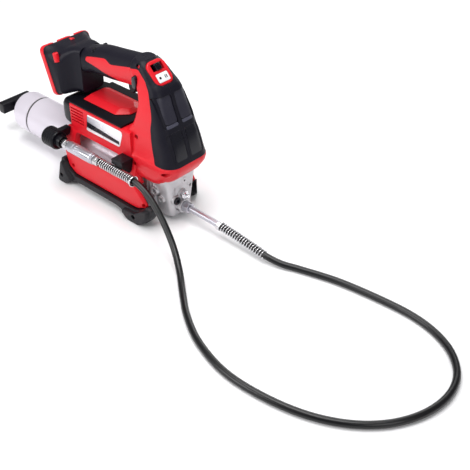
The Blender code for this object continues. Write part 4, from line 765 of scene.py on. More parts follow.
# %% Sections of neck and grip
NECK = [  # height, rear edge, nose, half width, radius of the nose corners
    (61, 110, 168, 33, 18), (66, 106, 175, 36, 22), (76, 104, 184, 37.5, 22), (88, 104, 190, 37.5, 20),
    (98, 104, 187.5, 35, 17), (122, 107, 180.5, 33.5, 17), (132, 116, 176.5, 32, 16), (146, 122, 171.5, 31, 15),
    (162, 125, 165, 28.5, 14), (174, 122, 161, 26, 13), (183, 116, 156.5, 23.5, 12), (190, 110, 149, 22, 12),
    (200, 104, 139, 19.5, 11), (207, 104, 131, 16.5, 9), (211, 106, 124, 12.5, 6),
]
GRIP = [  # station along X, height of the middle, half height, half width
    (10, 174, 18.8, 17.4), (16, 176, 18, 17), (25, 179, 18, 17), (40, 181.5, 20, 17), (60, 183.5, 20.8, 17),
    (90, 187.5, 20.8, 17), (112, 190, 20.5, 17.5), (128, 190, 17, 16),
]
SKIN, GAP, GRIP_WALL, WALL, SPLIT = 2.2, 0.3, 3.2, 3.0, 0.15


def neck(inset):
    sections = []
    for z, rear, nose, half, corner in eased(NECK, 3):
        rear, nose, half = rear + inset, nose - inset, half - inset
        corner = max(2.0, min(corner - inset, half - 0.5))
        back = max(1.5, min(8.0 - inset / 2, half - 0.5))
        outline = rounded((rear, -half), (nose, half), (back, corner, corner, back), 7)
        sections.append([(x, y, z) for x, y in outline])
    if inset:
        sections[0] = [(x, y, z + inset) for x, y, z in sections[0]]
        sections[-1] = [(x, y, z - inset) for x, y, z in sections[-1]]
    return skinned(sections)


def grip(inset):
    return skinned([
        [(x, y, middle + z) for y, z in oval(wide - inset, tall - inset)] for x, middle, tall, wide in eased(GRIP, 4)
    ])


def form(inset):
    return join(shape_object(neck(inset)), grip(inset))


core, inner, cavity = form(SKIN + GAP), form(SKIN), form(SKIN + GRIP_WALL)
print("form has", len(inner.data.polygons), "faces")

# %% [markdown]
# ## Body and cradle
# Below the grip the red housing carries on as a box around the motor, and below that as an open frame that
# cradles the grease barrel. Both are drawn outlines. The frame leans inwards above a bend, so its points are
# moved in by their height after it is drawn. What the barrel, the pump head and the motor need is then carved out.

# %% Body and frame
FRAME = [
    (-9, 85.4), (-9, 47), (-4, 27), (10, 18), (133, 18), (152, 27), (141, 40), (129, 52), (127, 66), (127, 92),
    (3.2, 92), (3.2, 85.4),
]
WINDOW = [(12, 82), (10, 57), (16, 50), (92, 50), (98, 57), (98, 82)]


def body_section(inset):
    half, low, top = 38 - inset, 86 + inset, 121.7 - inset
    return rounded_outline([(half, low), (half, top), (-half, top), (-half, low)], 2.2)


def cradle():
    bm = drawn(rounded_outline(FRAME, 5.0), -46, 46)
    rims = [e for e in bm.edges if abs(e.verts[0].co.y - e.verts[1].co.y) < 0.01]
    bmesh.ops.bevel(bm, geom=rims, offset=3.0, segments=4, affect="EDGES", profile=0.5, material=-1)
    for height in range(56, 88, 4):
        bmesh.ops.bisect_plane(
            bm, geom=bm.verts[:] + bm.edges[:] + bm.faces[:], plane_co=(0, 0, height), plane_no=(0, 0, 1)
        )
    for vert in bm.verts:
        vert.co.y *= frame_half_width(vert.co.z) / 46
    return bm


bay = [
    block((-3, -41, -5), (89, 41, 54)), block((-3, -33, 52), (89, 33, 83)), block((94.7, -41, -5), (170, 41, 50)),
    block((94.7, -29.2, 20), (172, 29.2, 69)), rod((-14, 0, 40), (92, 0, 40), 60.4, 64),
    rod((86, 0, 40), (120, 0, 40), 67.8, 64), drawn(rounded_outline(WINDOW, 5.0), -60, 60),
    block((-14, -20, -5), (95, 20, 30)),
]
room = drawn(body_section(WALL), -2, 112, "X")
crest = block((12, -13, 105.6), (102.4, 13, 126.7))
shaft_way = block((95, -20, 58), (165, 20, 106))

# %% [markdown]
# ## The inlay line
# The soft grip wraps the handle and the neck, apart from an inlay where the hard red shell shows. The line between
# them is one outline, seen from the side. The soft part is what lies outside it, and the red shell steps down by
# the skin's thickness there, so the two meet flush with a fine groove between.

# %% Soft grip region
INLAY = [
    (19, 180), (21, 186), (39, 190.5), (58, 194.5), (68, 190), (88, 194.5), (122, 202.5), (136, 193), (145, 180),
    (152, 160), (154, 150), (152, 136), (157, 108), (161, 92), (230, 92), (230, 40), (-40, 40), (-40, 150),
    (77, 150), (77, 171.5), (56, 174), (39, 177.5),
]


def soft_region(grown):
    region = shape_object(block((6, -50, 88.5 - grown), (200, 50, 230)))
    return cut(region, drawn(rounded_outline(INLAY, 4.0), -60, 60))


skin_cut = cut(soft_region(GAP), copy_of(core))
BEZEL_CENTRE, BEZEL_SLOPE = Vector((139.5, 0, 197.5)), 47.7
down = Vector((math.cos(math.radians(BEZEL_SLOPE)), 0, -math.sin(math.radians(BEZEL_SLOPE))))
bezel_axes = Matrix.Translation(BEZEL_CENTRE) @ Matrix(
    (down, Vector((0, 1, 0)), down.cross(Vector((0, 1, 0))))
).transposed().to_4x4()


def on_bezel(bm):
    bmesh.ops.transform(bm, matrix=bezel_axes, verts=bm.verts)
    return bm


def bezel_block(grown):
    outline = rounded((-16.5 - grown, -14.5 - grown), (16.5 + grown, 14.5 + grown), (9,) * 4, 8)
    return on_bezel(drawn(outline, -5 - grown, 12 if grown else 2, "Z"))


def lock_section(clearance, half_length):
    outline = [(119.5 + x, 186 + z) for x, z in oval(3.6 + clearance, 8 + clearance, 3.0, 40)]
    return drawn(outline, -half_length, half_length)


# %% [markdown]
# ## Openings in the shell
# The shell has cooling slats behind the label, a seat for the label on each side, round screw recesses, the slots
# for the trigger and the lock button, and a recessed panel on each half of the nose. A recess that follows a
# curved surface is a box with a slightly smaller copy of the form taken out of it.

# %% Recesses and openings
LABEL = [(34, 93), (38, 118), (104, 118), (106, 114), (99, 93)]
SCREWS_RED = [  # X, Z, how far from the middle the floor lies, diameter
    (127.5, 118, 30.4, 6.5), (125, 80.5, 33.5, 6.0),
]
SCREWS_SOFT = [(31.2, 196.0, 11.0, 6.4), (120.8, 205.6, 9.0, 6.0)]


def label_outline(inset):
    middle = Vector((70, 105.5))
    return rounded_outline([tuple(middle + (Vector(p) - middle) * (1 - inset / 30)) for p in LABEL], 3.0)


def screw_wells(screws, side):
    return [rod((x, side * floor_y, z), (x, side * 60, z), d, 32) for x, z, floor_y, d in screws]


def nose_panel(side, low, high, depth):
    """A recess of even depth on one half of the nose, between two heights."""
    near, far = sorted((side * 2.6, side * 26.0))
    outline = rounded((near, low), (far, high), (3.5,) * 4, 6)
    return cut(shape_object(drawn(outline, 140, 205, "X")), form(depth))


# %% The two housing halves and their soft skins
made_sides = {}
for side, word in SIDES:
    low, high = sorted((side * SPLIT, side * 80))
    half_space = block((-250, low, -20), (400, high, 260))
    label_low, label_high = sorted((side * 36.9, side * 44))
    shell = shape_object(neck(0.0), word + "_shell")
    join(shell, drawn(body_section(0.0), 3, 120.4, "X"), grip(0.0), cradle())
    openings = [drawn(label_outline(0.0), label_low, label_high), block((75, -8.8, 140), (114, 8.8, 186))]
    openings += [lock_section(0.5, 60), bezel_block(GAP)]
    for row in range(5):
        z = 97.0 + 4.5 * row
        openings.append(drawn(rounded((4.5, z), (30, z + 2.4), (1.1,) * 4, 4), -60, 60))
    openings += screw_wells(SCREWS_RED, side)
    openings.append(rod((168, side * 33.5, 83.5), (200, side * 33.5, 83.5), 6.5, 32))
    openings += [rod((x, side * 42, z), (x, side * 60, z), 6.0, 32) for x, z in ((6.5, 31.0), (146, 28.5))]
    cut(shell, copy_of(skin_cut), copy_of(cavity), *[tool.copy() for tool in (room, crest, shaft_way, *bay)])
    cut(shell, *openings)
    keep(shell, half_space)
    settle(word + "_shell", shell, red, instead=(word + "_housing",), sharp=38)

    skin = shape_object(neck(0.0), word + "_skin")
    join(skin, grip(0.0))
    keep(skin, soft_region(0.0))
    half_space = block((-250, low, -20), (400, high, 260))
    cut(skin, copy_of(inner), bezel_block(GAP), *screw_wells(SCREWS_SOFT, side))
    cut(skin, nose_panel(side, 140.0, 177.0, 1.6), nose_panel(side, 99.0, 134.0, 0.8))
    keep(skin, half_space)
    settle(word + "_soft_grip", skin, rubber, instead=(word + "_grip_skin",), sharp=38)
    made_sides[word] = (shell, skin)
for tool in (core, inner, cavity, skin_cut):
    bpy.data.objects.remove(tool, do_unlink=True)
for tool in [room, crest, shaft_way, *bay]:
    tool.free()
print("shells:", [(word, len(a.data.polygons), len(b.data.polygons)) for word, (a, b) in made_sides.items()])

# %% Screws, and painted shade behind the slats
for side, word in SIDES:
    # The red screw heads take the darker red, as painted shade in their wells.
    for k, (x, z, floor_y, d) in enumerate(SCREWS_RED):
        head = shape_object(rod((x, side * floor_y, z), (x, side * (floor_y + 0.8), z), d - 0.3, 32))
        cut(head, rod((x, side * floor_y, z), (x, side * (floor_y + 2), z), 2.6, 6))
        settle("%s_screw_%d" % (word, k + 1), head, painted_shade_red)
    for k, ((x, z, _, d), top) in enumerate(zip(SCREWS_SOFT, (10.4, 15.6))):
        head = shape_object(rod((x, side * (top - 3.5), z), (x, side * top, z), d - 0.3, 32))
        cut(head, rod((x, side * (top - 1.2), z), (x, side * (top + 2), z), 3.2, 6))
        settle("%s_grip_screw_%d" % (word, k + 1), head, black)
    # A dark red sheet behind the cooling slats is painted shade seen through the vents.
    near, far = sorted((side * 34.0, side * 34.9))
    settle(word + "_slat_painted_shade", block((3.5, near, 94.5), (32, far, 119)), painted_shade_red)
print("screws and backing:", made_pieces[-5:])

# %% [markdown]
# ## Nose inserts
# Each half of the nose carries a sunken panel. Its floor is glossy, and two pads stand on it: a low one on the
# steep lower face and a thinner one on the upper slope, with a ledge between them. The upper pad is a lighter grey
# than the grip rubber, as painted light on the slope, and the ledge is paler still, as a painted highlight. Each
# piece is a slice between two copies of the form, one smaller than the other, so it follows the curve exactly.

# %% Inserts on the nose
gloss_black = finish(
    "glossy_black_insert", (0.002, 0.002, 0.007), 0.16, depth=0.03, wear=0.1, worn=(0.03, 0.03, 0.04), dusting=0.0,
    specular=0.4, coat=0.2,
)


# A lighter copy of the grip rubber: painted light on the upper slope of the nose.
slope_painted_light = finish(
    "slope_painted_light_rubber", (0.014, 0.013, 0.026), 0.38, grain_scale=1500.0, depth=0.2, dusting=0.01, specular=0.45
)
# A paler rubber for the level ledge: a painted highlight where it faces the light.
ledge_painted_highlight = finish("ledge_painted_highlight_rubber", (0.06, 0.06, 0.09), 0.3, grain_scale=1500.0, depth=0.1, dusting=0.01)


def slice_of_form(outer, deeper, side, near, far, low, high, corner):
    """The part of the form between two depths, inside a rounded window on one side of the nose."""
    near, far = sorted((side * near, side * far))
    window = drawn(rounded((near, low), (far, high), (corner,) * 4, 6), 138, 205, "X")
    shape = keep(form(outer), window)
    return cut(shape, form(deeper))


NOSE_PIECES = [  # name, outer and inner depth, near and far edge, bottom and top, corner radius, finish, slot
    ("floor", 1.75, 2.1, 2.9, 26.7, 97.3, 177.7, 3.0, gloss_black, "black_plastic"),
    ("lower_pad", 0.1, 1.7, 3.4, 21.5, 98.5, 134.5, 3.0, gloss_black, "black_plastic"),
    ("upper_pad", 0.9, 1.7, 3.4, 21.5, 144.5, 176.5, 3.0, slope_painted_light, "grip_rubber"),
    ("ledge", 0.5, 1.7, 3.4, 21.5, 135.5, 143.5, 1.5, ledge_painted_highlight, "grip_rubber"),
]
for side, word in SIDES:
    for part, outer, deeper, near, far, low, high, corner, paint, slot in NOSE_PIECES:
        piece = slice_of_form(outer, deeper, side, near, far, low, high, corner)
        settle(word + "_nose_" + part, piece, paint)
print("nose pieces:", made_pieces[-8:])

# %% [markdown]
# ## Deck and rear cover
# A black deck closes the motor housing's top and carries a raised red panel with slanted sides. Behind, a black
# cover with round shoulders closes the motor's end. The deck is drawn and bevelled, and the panel and the cover
# are skinned from a few level outlines.

# %% Deck, red panel and motor cover
deck_section = rounded_outline([(-37.6, 122), (-37.6, 124.3), (37.6, 124.3), (37.6, 122)], 1.2)
settle("deck", drawn(deck_section, 3, 103.4, "X"), black, instead=("deck_cover",))
PANEL_FOOT = [(13, -22), (13, 22), (76, 22), (90, 8), (90, -8), (76, -22)]
PANEL_CREST = [(17, -12), (17, 12), (74, 12), (84, 4), (84, -4), (74, -12)]
levels = [(PANEL_FOOT, 124.6), (PANEL_FOOT, 125.1), (PANEL_CREST, 130.0)]
panel = skinned([[(x, y, z) for x, y in rounded_outline(plan, 2.0)] for plan, z in levels])
settle("red_deck_panel", softened(panel, 0.6, 3, 18.0), red, instead=("deck_panel",))


def motor_cover(inset):
    stations = [(2.7, 0.4), (-8, 1.0), (-14, 3.0), (-18, 6.5), (-20, 11.0)]
    sections = []
    for x, shrink in eased([(-x, s) for x, s in stations], 4):
        x, half = -x, 38 - inset - shrink
        x = x + inset if x < 0 else x
        low, high = 86 + inset + shrink, 124.3 - inset - shrink
        corner = min(8.0, (high - low) / 2 - 1)
        sections.append([(x, y, z) for y, z in rounded((-half, low), (half, high), (corner,) * 4)])
    return skinned(sections)


cover = shape_object(motor_cover(0.0))
cut(cover, motor_cover(WALL), block((2.7, -60, 60), (60, 60, 140)))
slat_outlines = [rounded((-14.5, 96 + 5 * row), (14.5, 98.4 + 5 * row), (1.1,) * 4, 4) for row in range(4)]
cut(cover, *[drawn(outline, -30, -12, "X") for outline in slat_outlines])
join(cover, rod((-18.6, 0, 105.6), (-6, 0, 105.6), 20, 48, 14.1))
settle("motor_cover", cover, black, instead=("motor_rear_cap",))
print("deck and cover:", made_pieces[-3:])

# %% [markdown]
# ## Labels
# A metallic label sits in a shallow seat on each side. It carries no words: a pale frame, a soft grey gradient and
# a black band. The band is painted by the material, which reads the height and the length along the label from
# Object coordinates, and the label itself is a thin rounded plate.

# %% Label finish and plates
label_paint = bpy.data.materials.new("label_print")
label_paint.use_nodes = True
tree = label_paint.node_tree
shader = tree.nodes["Principled BSDF"]
where = tree.nodes.new("ShaderNodeSeparateXYZ")
tree.links.new(tree.nodes.new("ShaderNodeTexCoord").outputs["Object"], where.inputs[0])
def work_out(operation, *values):
    return math_node(tree, operation, *values)


x_mm = work_out("MULTIPLY", where.outputs["X"], 1000.0)
z_mm = work_out("MULTIPLY", where.outputs["Z"], 1000.0)
from_left = work_out("DIVIDE", work_out("SUBTRACT", x_mm, 36.0), 66.0)
band_top = work_out("MULTIPLY_ADD", from_left, -6.0, 107.0)
band_low = work_out("MULTIPLY_ADD", from_left, -1.5, 98.0)
in_band = work_out(
    "MULTIPLY", work_out("LESS_THAN", z_mm, band_top), work_out("GREATER_THAN", z_mm, band_low)
)
in_band = work_out("MULTIPLY", in_band, work_out("LESS_THAN", from_left, 0.95))
fade = work_out("POWER", work_out("SUBTRACT", 1.0, work_out("MULTIPLY", from_left, 1.3)), 1.4)
above = work_out("GREATER_THAN", z_mm, band_top)
below_frame = work_out("LESS_THAN", z_mm, 115.5)
greyed = work_out("MULTIPLY", work_out("MULTIPLY", above, below_frame), work_out("MAXIMUM", fade, 0.0))
backing = mix_colour(tree, greyed, (0.84, 0.83, 0.86), (0.2, 0.19, 0.24))
tree.links.new(mix_colour(tree, in_band, backing, (0.008, 0.008, 0.014)), shader.inputs["Base Color"])
flecks = use_group(tree, grain, Scale=1400.0)
tree.links.new(work_out("MULTIPLY_ADD", flecks.outputs["Mottle"], 0.1, 0.22), shader.inputs["Roughness"])
shader.inputs["Metallic"].default_value = 0.25
shader.inputs["Coat Weight"].default_value = 0.4
shader.inputs["Coat Roughness"].default_value = 0.1
bump = tree.nodes.new("ShaderNodeBump")
bump.inputs["Strength"].default_value = 0.05
bump.inputs["Distance"].default_value = 0.0003
tree.links.new(flecks.outputs["Height"], bump.inputs["Height"])
tree.links.new(bump.outputs["Normal"], shader.inputs["Normal"])
for side, word in SIDES:
    low, high = sorted((side * 37.2, side * 38.1))
    plate = softened(drawn(label_outline(GAP), low, high), 0.25, 2)
    settle(word + "_side_label", plate, label_paint, instead=(word + "_label",))
print("labels:", made_pieces[-2:])

# %% [markdown]
# ## Battery mount
# The grip's rear end opens out into a tilted square mouth that a battery slides up against. A red rim frames it,
# and inside are the terminal block, two guide rails and the screw bosses in the upper corners. The mount is
# skinned from tilted cross-sections, the pocket is a second skin carved out of it, and the rim is a frame.


# %% Mount and rim
def mouth(centre, tilt, half_height, half_width, low_radius, high_radius=None):
    lean = math.radians(tilt)
    high_radius = high_radius or low_radius
    outline = rounded(
        (-half_width, -half_height), (half_width, half_height), (low_radius, low_radius, high_radius, high_radius)
    )
    return [(centre[0] - v * math.sin(lean), u, centre[1] + v * math.cos(lean)) for u, v in outline]


def rim_point(out, up):
    lean = math.radians(18.4)
    return (
        -34.5 - out * math.cos(lean) - up * math.sin(lean), 153.5 - out * math.sin(lean) + up * math.cos(lean)
    )


mount = shape_object(skinned([
    mouth(rim_point(-4.3, 0), 18.4, 33, 38, 7), mouth(rim_point(-6.5, 0), 18.4, 32.5, 37.6, 7, 14),
    mouth(rim_point(-10, 0), 15, 31.8, 37.2, 7.5, 20), mouth((-16.5, 156), 6, 30.5, 36.5, 8, 24),
    mouth((-12, 157.5), 4, 31.0, 32.5, 8.6, 20), mouth((-8, 158.5), 2, 31.5, 27.5, 9, 16),
    mouth((-3.5, 159.6), 1, 31.6, 23.0, 8.5, 11), mouth((1, 160.2), 0, 31.6, 20, 8),
    mouth((9.7, 160.5), 0, 31.4, 17.6, 7),
]))
cut(mount, skinned([
    mouth(rim_point(8, 0), 18.4, 28.5, 33.5, 3), mouth(rim_point(-9, 0), 18.4, 26.5, 31, 9),
    mouth(rim_point(-17, -1), 12.4, 24.5, 20, 6),
]), block((-20, -7, 160), (30, 7, 176)))
cut(mount, rod((-22, -33, 187), (-14, -33, 199), 8.5, 32), rod((-20, 33, 187), (-14, 33, 199), 8.5, 32))
settle("mount_body", mount, rubber, instead=("battery_mount",), sharp=34)

rim = shape_object(skinned([
    mouth(rim_point(3, 0), 18.4, 33.8, 38.8, 7.5), mouth(rim_point(-4, 0), 18.4, 33.8, 38.8, 7.5),
]))
cut(rim, skinned([mouth(rim_point(9, 0), 18.4, 28.5, 33.5, 3), mouth(rim_point(-6, 0), 18.4, 28.5, 33.5, 3)]))
notches = []
for y in (-14.0, 14.0):
    x, z = rim_point(3, 33.0)
    notch = block((x - 8, y - 5, z - 1.0), (x + 8, y + 5, z + 4))
    notches.append(notch)
cut(rim, *notches)
made_plain(rim)
rim_bevel = rim.modifiers.new("rim_bevel", "BEVEL")
rim_bevel.width, rim_bevel.segments, rim_bevel.limit_method = 0.7 * MM, 3, "ANGLE"
settle("mouth_rim", made_plain(rim), red, instead=("battery_rim",))
print("mount pieces:", made_pieces[-2:])

# %% Bosses, rails and terminals
tilted = Matrix.Rotation(math.radians(-18.4), 4, "Y")


def at_mouth(bm, out, up, across):
    x, z = rim_point(out, up)
    bmesh.ops.transform(bm, matrix=Matrix.Translation((x, across, z)) @ tilted, verts=bm.verts)
    return bm


def boss_profile(length, radius, shoulder, bore):
    inner, outer = radius - 0.8, -shoulder
    return [(-length, 0), (-length, radius), (outer, radius), (0, inner), (0, bore), (-2.2, bore), (-2.2, 0)]


near_boss = turned(boss_profile(12, 3.8, 1.0, 1.7), (-21, -33, 183.5), (-0.25, 0, 0.97), steps=48)
settle("corner_boss_near", near_boss, red)
top_boss = turned(boss_profile(7, 4.4, 1.2, 1.8), steps=48)
settle("corner_boss_top", at_mouth(top_boss, -15.5, 28.0, 4.0), red)
for word, y in (("near", -30.6), ("far", 28.2)):
    rail = softened(block((1.2, -1.0, -21), (13.0, 3.4, 19)), 0.5, 2)
    settle("guide_rail_" + word, at_mouth(rail, -2.2, 0, y), black)
for k, y in enumerate((-10.5, -3.5, 3.5, 10.5)):
    blade = softened(block((-9.6, -0.35, -5.0), (-2.4, 0.35, 5.0)), 0.15, 1)
    settle("terminal_blade_%d" % (k + 1), at_mouth(blade, -7.6, -1.0, y), copper)
print("inside the mouth:", made_pieces[-8:])

# %% [markdown]
# ## Bezel, speed slide and trigger
# Above the nose a red bezel holds the speed slide and a pale plate with two plain icons, a slow dot and a fast
# double bar. The black trigger hangs under the grip, and a lock button passes through the neck behind it.

# %% Bezel with its slide
bezel = shape_object(softened(bezel_block(0.0), 1.4, 4))
cut(bezel, on_bezel(block((-12, -9, -10), (-2.5, 9, 10))), on_bezel(block((1, -9.5, 1.2), (13, 9.5, 5))))
settle("red_bezel", bezel, red, instead=("selector_bezel",))
plate = softened(on_bezel(drawn(rounded((1.3, -9.2), (12.7, 9.2), (1.6,) * 4, 5), 1.5, 2.2, "Z")), 0.2, 2)
settle("icon_plate", plate, finish("icon_plate_white", (0.82, 0.82, 0.84), 0.3, depth=0.04),
       instead=("selector_plate",))
icons = [on_bezel(drawn([(7 + a, b - 4.6) for a, b in oval(1.7, 1.7, 2.0, 24)], 2.2, 2.36, "Z"))]
icons += [on_bezel(drawn(rounded((5.0, y), (9.2, y + 1.2), (0.4,) * 4, 3), 2.2, 2.36, "Z")) for y in (2.6, 5.0)]
for k, icon in enumerate(icons):
    settle("plain_icon_%d" % (k + 1), icon, gloss_black)
slide = on_bezel(softened(block((-11.6, -4.5, -4.2), (-2.9, 4.5, 4.2)), 0.9, 3))
slide_grip = [on_bezel(block((-12, y - 0.4, 3.6), (-2.5, y + 0.4, 5))) for y in (-2.6, -1.3, 0.0, 1.3, 2.6)]
slide = cut(shape_object(slide), *slide_grip)
settle("speed_slide_knob", slide, gloss_black, body="speed_selector", instead=("speed_selector",))

# %% Trigger and lock button
TRIGGER = [
    (112, 196), (113, 184), (106, 172), (102, 163), (98, 157), (93.5, 156), (90, 160), (88.5, 168), (92, 178),
    (101, 188), (105, 196),
]
lever = shape_object(softened(drawn(rounded_outline(TRIGGER, 4.0), -8, 8), 1.8, 4))
cut(lever, rod((108, -20, 190), (108, 20, 190), 3.6, 32))
grooves = [rod((x, -10, z), (x, 10, z), 1.4, 16) for x, z in ((103.2, 164.2), (105.0, 168.0), (107.2, 172.6))]
cut(lever, *grooves)
settle("trigger_lever", lever, black, body="trigger", instead=("trigger",))
button = softened(lock_section(0.0, 25.5), 0.9, 3)
settle("lock_cross_button", button, gloss_black, body="lock_button", instead=("lock_button",))
print("controls:", made_pieces[-9:])

# %% [markdown]
# ## Barrel and follower handle
# The grease barrel is a painted steel tube that screws into the pump head. Its rear cap is a short dome with a
# groove at the joint, and a rod with a T-shaped handle passes out through it to draw the follower back. Tube and
# cap are turned, with small rounds where the profile breaks, and the handle is a drawn bar with a turned boss.

# %% Tube, cap and handle
axis = (0.0, 0.0, 40.0)
OUTLET, BLEEDER, PLUG = (0, 0, 19), (0, 0, 37), (0, -12, 31.5)
CAP_REAR, DOME_DEPTH, ROD_EDGE, DOME_SPREAD, CAP_WALL = -160.3, 17.0, 7.3, 21.7, 2.4
tube = turned([
    (-118, 27.4), (-118, 28.0), (-116.6, 28.1), (-116.2, 29), (102, 29), (103.4, 28.4), (108, 28.4), (108, 27.4),
], axis, steps=128)
settle("silver_tube", tube, silver, body="barrel", instead=("barrel_tube",))
dome = []
for step in range(13):
    angle = math.radians(90 * step / 12)
    dome.append((CAP_REAR + DOME_DEPTH * (1 - math.sin(angle)), ROD_EDGE + DOME_SPREAD * math.cos(angle)))
lining = [(x + CAP_WALL, max(6.3, r - CAP_WALL)) for x, r in reversed(dome)]
cap_profile = [
    (-118.3, 26.6), (-118.3, 28.0), (-119.6, 28.1), (-120.0, 29), *dome,
    (CAP_REAR, 4.3), (CAP_REAR + CAP_WALL, 4.3), *lining[1:],
]
settle("silver_cap", turned(cap_profile, axis, steps=128), silver, body="barrel",
       instead=("barrel_cap",), sharp=28)
bar = shape_object(softened(drawn(rounded((-190, 31.5), (-176, 48.5), (4.0,) * 4, 6), -26, 26), 1.6, 4, 40))
join(bar, rod((-182, 0, 40), (-171, 0, 40), 15, 48))
cut(bar, rod((-186.3, 0, 40), (-120, 0, 40), 8.6, 48))
settle("t_handle", bar, black, body="follower", instead=("pull_handle",))
# A dark ring laid on the floor of the joint's groove is painted shadow in the groove.
groove_painted_shadow = turned([(-119.5, 28.12), (-119.5, 28.4), (-116.7, 28.4), (-116.7, 28.12)], axis, steps=128)
settle("joint_shadow_ring", groove_painted_shadow, seal_rubber, body="barrel")
print("barrel:", made_pieces[-4:])

# %% [markdown]
# ## Pump head
# The pump head is an aluminium casting: wide shoulders, a narrower foot, a round collar for the barrel, bosses
# for the valves and screws on its sides. It is skinned from level outlines that shrink towards the foot, joined
# with its collar and bosses, drilled, and then softened with a bevel, because no cast edge is truly sharp.


# %% Casting
def head_level(z, wide, back):
    half = 28.0 * wide
    plan = [(106, 2 - half), (128, -half), (159, -half), (168, 2 - half), (171, 7 - half)]
    plan = [(118 + (x - 118) * back, y) for x, y in plan]
    plan += [(x, -y) for x, y in reversed(plan)]
    return [(x, y, z) for x, y in rounded_outline(plan, 3.0, 3)]


head_levels = [(6, 0.66, 0.945), (8, 0.685, 0.958), (20, 0.755, 0.967), (30, 0.81, 0.975), (44, 0.885, 0.985),
               (54, 0.94, 0.992), (60, 0.975, 0.997), (65.5, 0.985, 0.999), (68, 0.955, 0.985)]
head = shape_object(skinned([head_level(*level) for level in head_levels]))
join(
    head, rod((95, 0, 40), (116, 0, 40), 65.4, 96), rod((158, 0, 19), (175, 0, 19), 20, 48),
    turned([(160, 0), (160, 7.6), (170.6, 7.2), (171.6, 6.4), (171.6, 0)], BLEEDER, steps=48),
    turned([(160, 0), (160, 7.2), (171.2, 6.8), (172.2, 6.0), (172.2, 0)], PLUG, steps=48),
    turned([(160, 0), (160, 5.6), (170.4, 5.2), (171.4, 4.4), (171.4, 0)], (0, 4.3, 55), steps=40),
)
for side in (-1, 1):
    join(
        head, rod((147.5, side * 20, 43), (147.5, side * 28.4, 43), 12.0, 40),
        rod((157, side * 18, 33.5), (157, side * 26.4, 33.5), 9.5, 40),
    )
for x, top in ((132, 62), (138, 60), (144, 58)):
    join(head, softened(block((x, -26.4, 12), (x + 1.6, 26.4, top)), 0.4, 2))
cut(
    head, rod((90, 0, 40), (108.3, 0, 40), 58.6, 96), rod((107, 0, 40), (122, 0, 40), 12, 32),
    rod((122, 0, 14), (122, 0, 78), 9.6, 40), rod((122, 0, 19), (181, 0, 19), 6, 24),
    rod((162, 0, 19), (181, 0, 19), 10.6, 40), rod((160, 0, 37), (181, 0, 37), 9, 32),
    rod((161, -12, 31.5), (181, -12, 31.5), 10, 32), rod((122, 0, 58), (122, 0, 78), 16, 40),
    rod((167.5, 15.2, 42.8), (176, 15.2, 42.8), 5.0, 24), block((168.6, -13.0, 42), (173, -12.2, 51)),
    rod((167, 4.3, 55), (176, 4.3, 55), 3.0, 24), rod((166, -9, 16), (176, -9, 16), 3.6, 24),
)
for side in (-1, 1):
    cut(head, rod((147.5, side * 19, 43), (147.5, side * 33, 43), 7, 32),
        rod((157, side * 17, 33.5), (157, side * 33, 33.5), 5, 32))
head_bevel = head.modifiers.new("cast_edges", "BEVEL")
head_bevel.width, head_bevel.segments = 0.5 * MM, 2
head_bevel.limit_method, head_bevel.angle_limit = "ANGLE", math.radians(38)
settle("cast_head", made_plain(head), aluminium, instead=("pump_head",), sharp=30)
print("casting has", len(head.data.polygons), "faces")

# %% Bolt, plug, bleeder and outlet
bolt = shape_object(turned([
    (0, 0), (0, 2.7), (0.5, 3.1), (4.7, 3.1), (4.7, 0)], (147.5, -24, 43), (0, 1, 0), 40))
cut(bolt, rod((147.5, -22, 43), (147.5, -27, 43), 3.4, 6))
settle("socket_bolt", bolt, gloss_black, instead=("head_bolt",))
plug = shape_object(turned([
    (161.4, 0), (161.4, 4.6), (170, 4.6), (172.5, 4.7), (172.7, 5.4), (174, 5.4), (174.5, 4.8), (174.5, 0),
], PLUG, steps=48))
cut(plug, rod((172, -12, 31.5), (176, -12, 31.5), 5.2, 6))
settle("black_valve_plug", plug, gloss_black, instead=("check_valve_plug",))
bleeder = shape_object(turned([
    (160.4, 1.7), (160.4, 4.1), (170.8, 4.1), (171.4, 5.6), (176, 5.6), (176.6, 5.1), (176.6, 3.6), (178, 3.2),
    (178, 1.7),
], BLEEDER, steps=48))
settle("bleeder_body", bleeder, chrome, instead=("bleeder_valve",))
stem = turned([
    (163, 0), (163, 1.3), (180.5, 1.3), (180.6, 2.2), (181, 2.6), (182.2, 2.5), (182.8, 1.8), (183, 0),
], BLEEDER, steps=40)
settle("bleeder_pin", stem, chrome, body="bleeder_stem", instead=("bleeder_stem",))
fitting = shape_object(turned([
    (162.4, 2), (162.4, 5), (175.4, 5), (175.4, 7.6), (183.5, 7.6), (184.5, 6.6), (184.5, 2),
], OUTLET, steps=64))
keep(fitting, softened(rod((160, 0, 19), (190, 0, 19), 15.0, 6), 0.6, 2))
settle("hex_outlet", fitting, bright_steel, instead=("outlet_fitting",))


def bent_tube(points, outer, inner):
    """A straight-ended tube along a few points, as rings bridged to each other."""
    rings = []
    for radius in (outer, inner):
        row = []
        for i, p in enumerate(points):
            ahead = Vector(points[min(i + 1, len(points) - 1)]) - Vector(points[max(i - 1, 0)])
            side = ahead.cross(Vector((0, 0, 1))).normalized()
            over = side.cross(ahead).normalized()
            turns = [math.tau * k / 40 for k in range(40)]
            row.append([
                Vector(p) + side * radius * math.cos(turn) + over * radius * math.sin(turn) for turn in turns
            ])
        rings.append(row)
    return skinned(rings[0]), skinned(rings[1])


pipe_points = [(184.8, 0, 19), (196, 0, 18.95), (210, 0, 18.5), (222, 0, 18.2), (234, 0, 17.8)]
pipe, bore = bent_tube(pipe_points, 4.3, 2.2)
pipe = shape_object(pipe)
bore.free()
cut(pipe, rod((180, 0, 19.0), (188, 0, 19.0), 4.4, 24))
settle("steel_outlet_tube", pipe, bright_steel, instead=("outlet_tube",))
print("head fittings:", made_pieces[-6:])

# %% [markdown]
# ## Feet
# Two black rubber rails run along the cradle's sides, each with a broad rear foot and front foot. Each rail is a
# drawn outline. The feet are drawn outlines too, drawn in towards their outer face, joined on and softened.

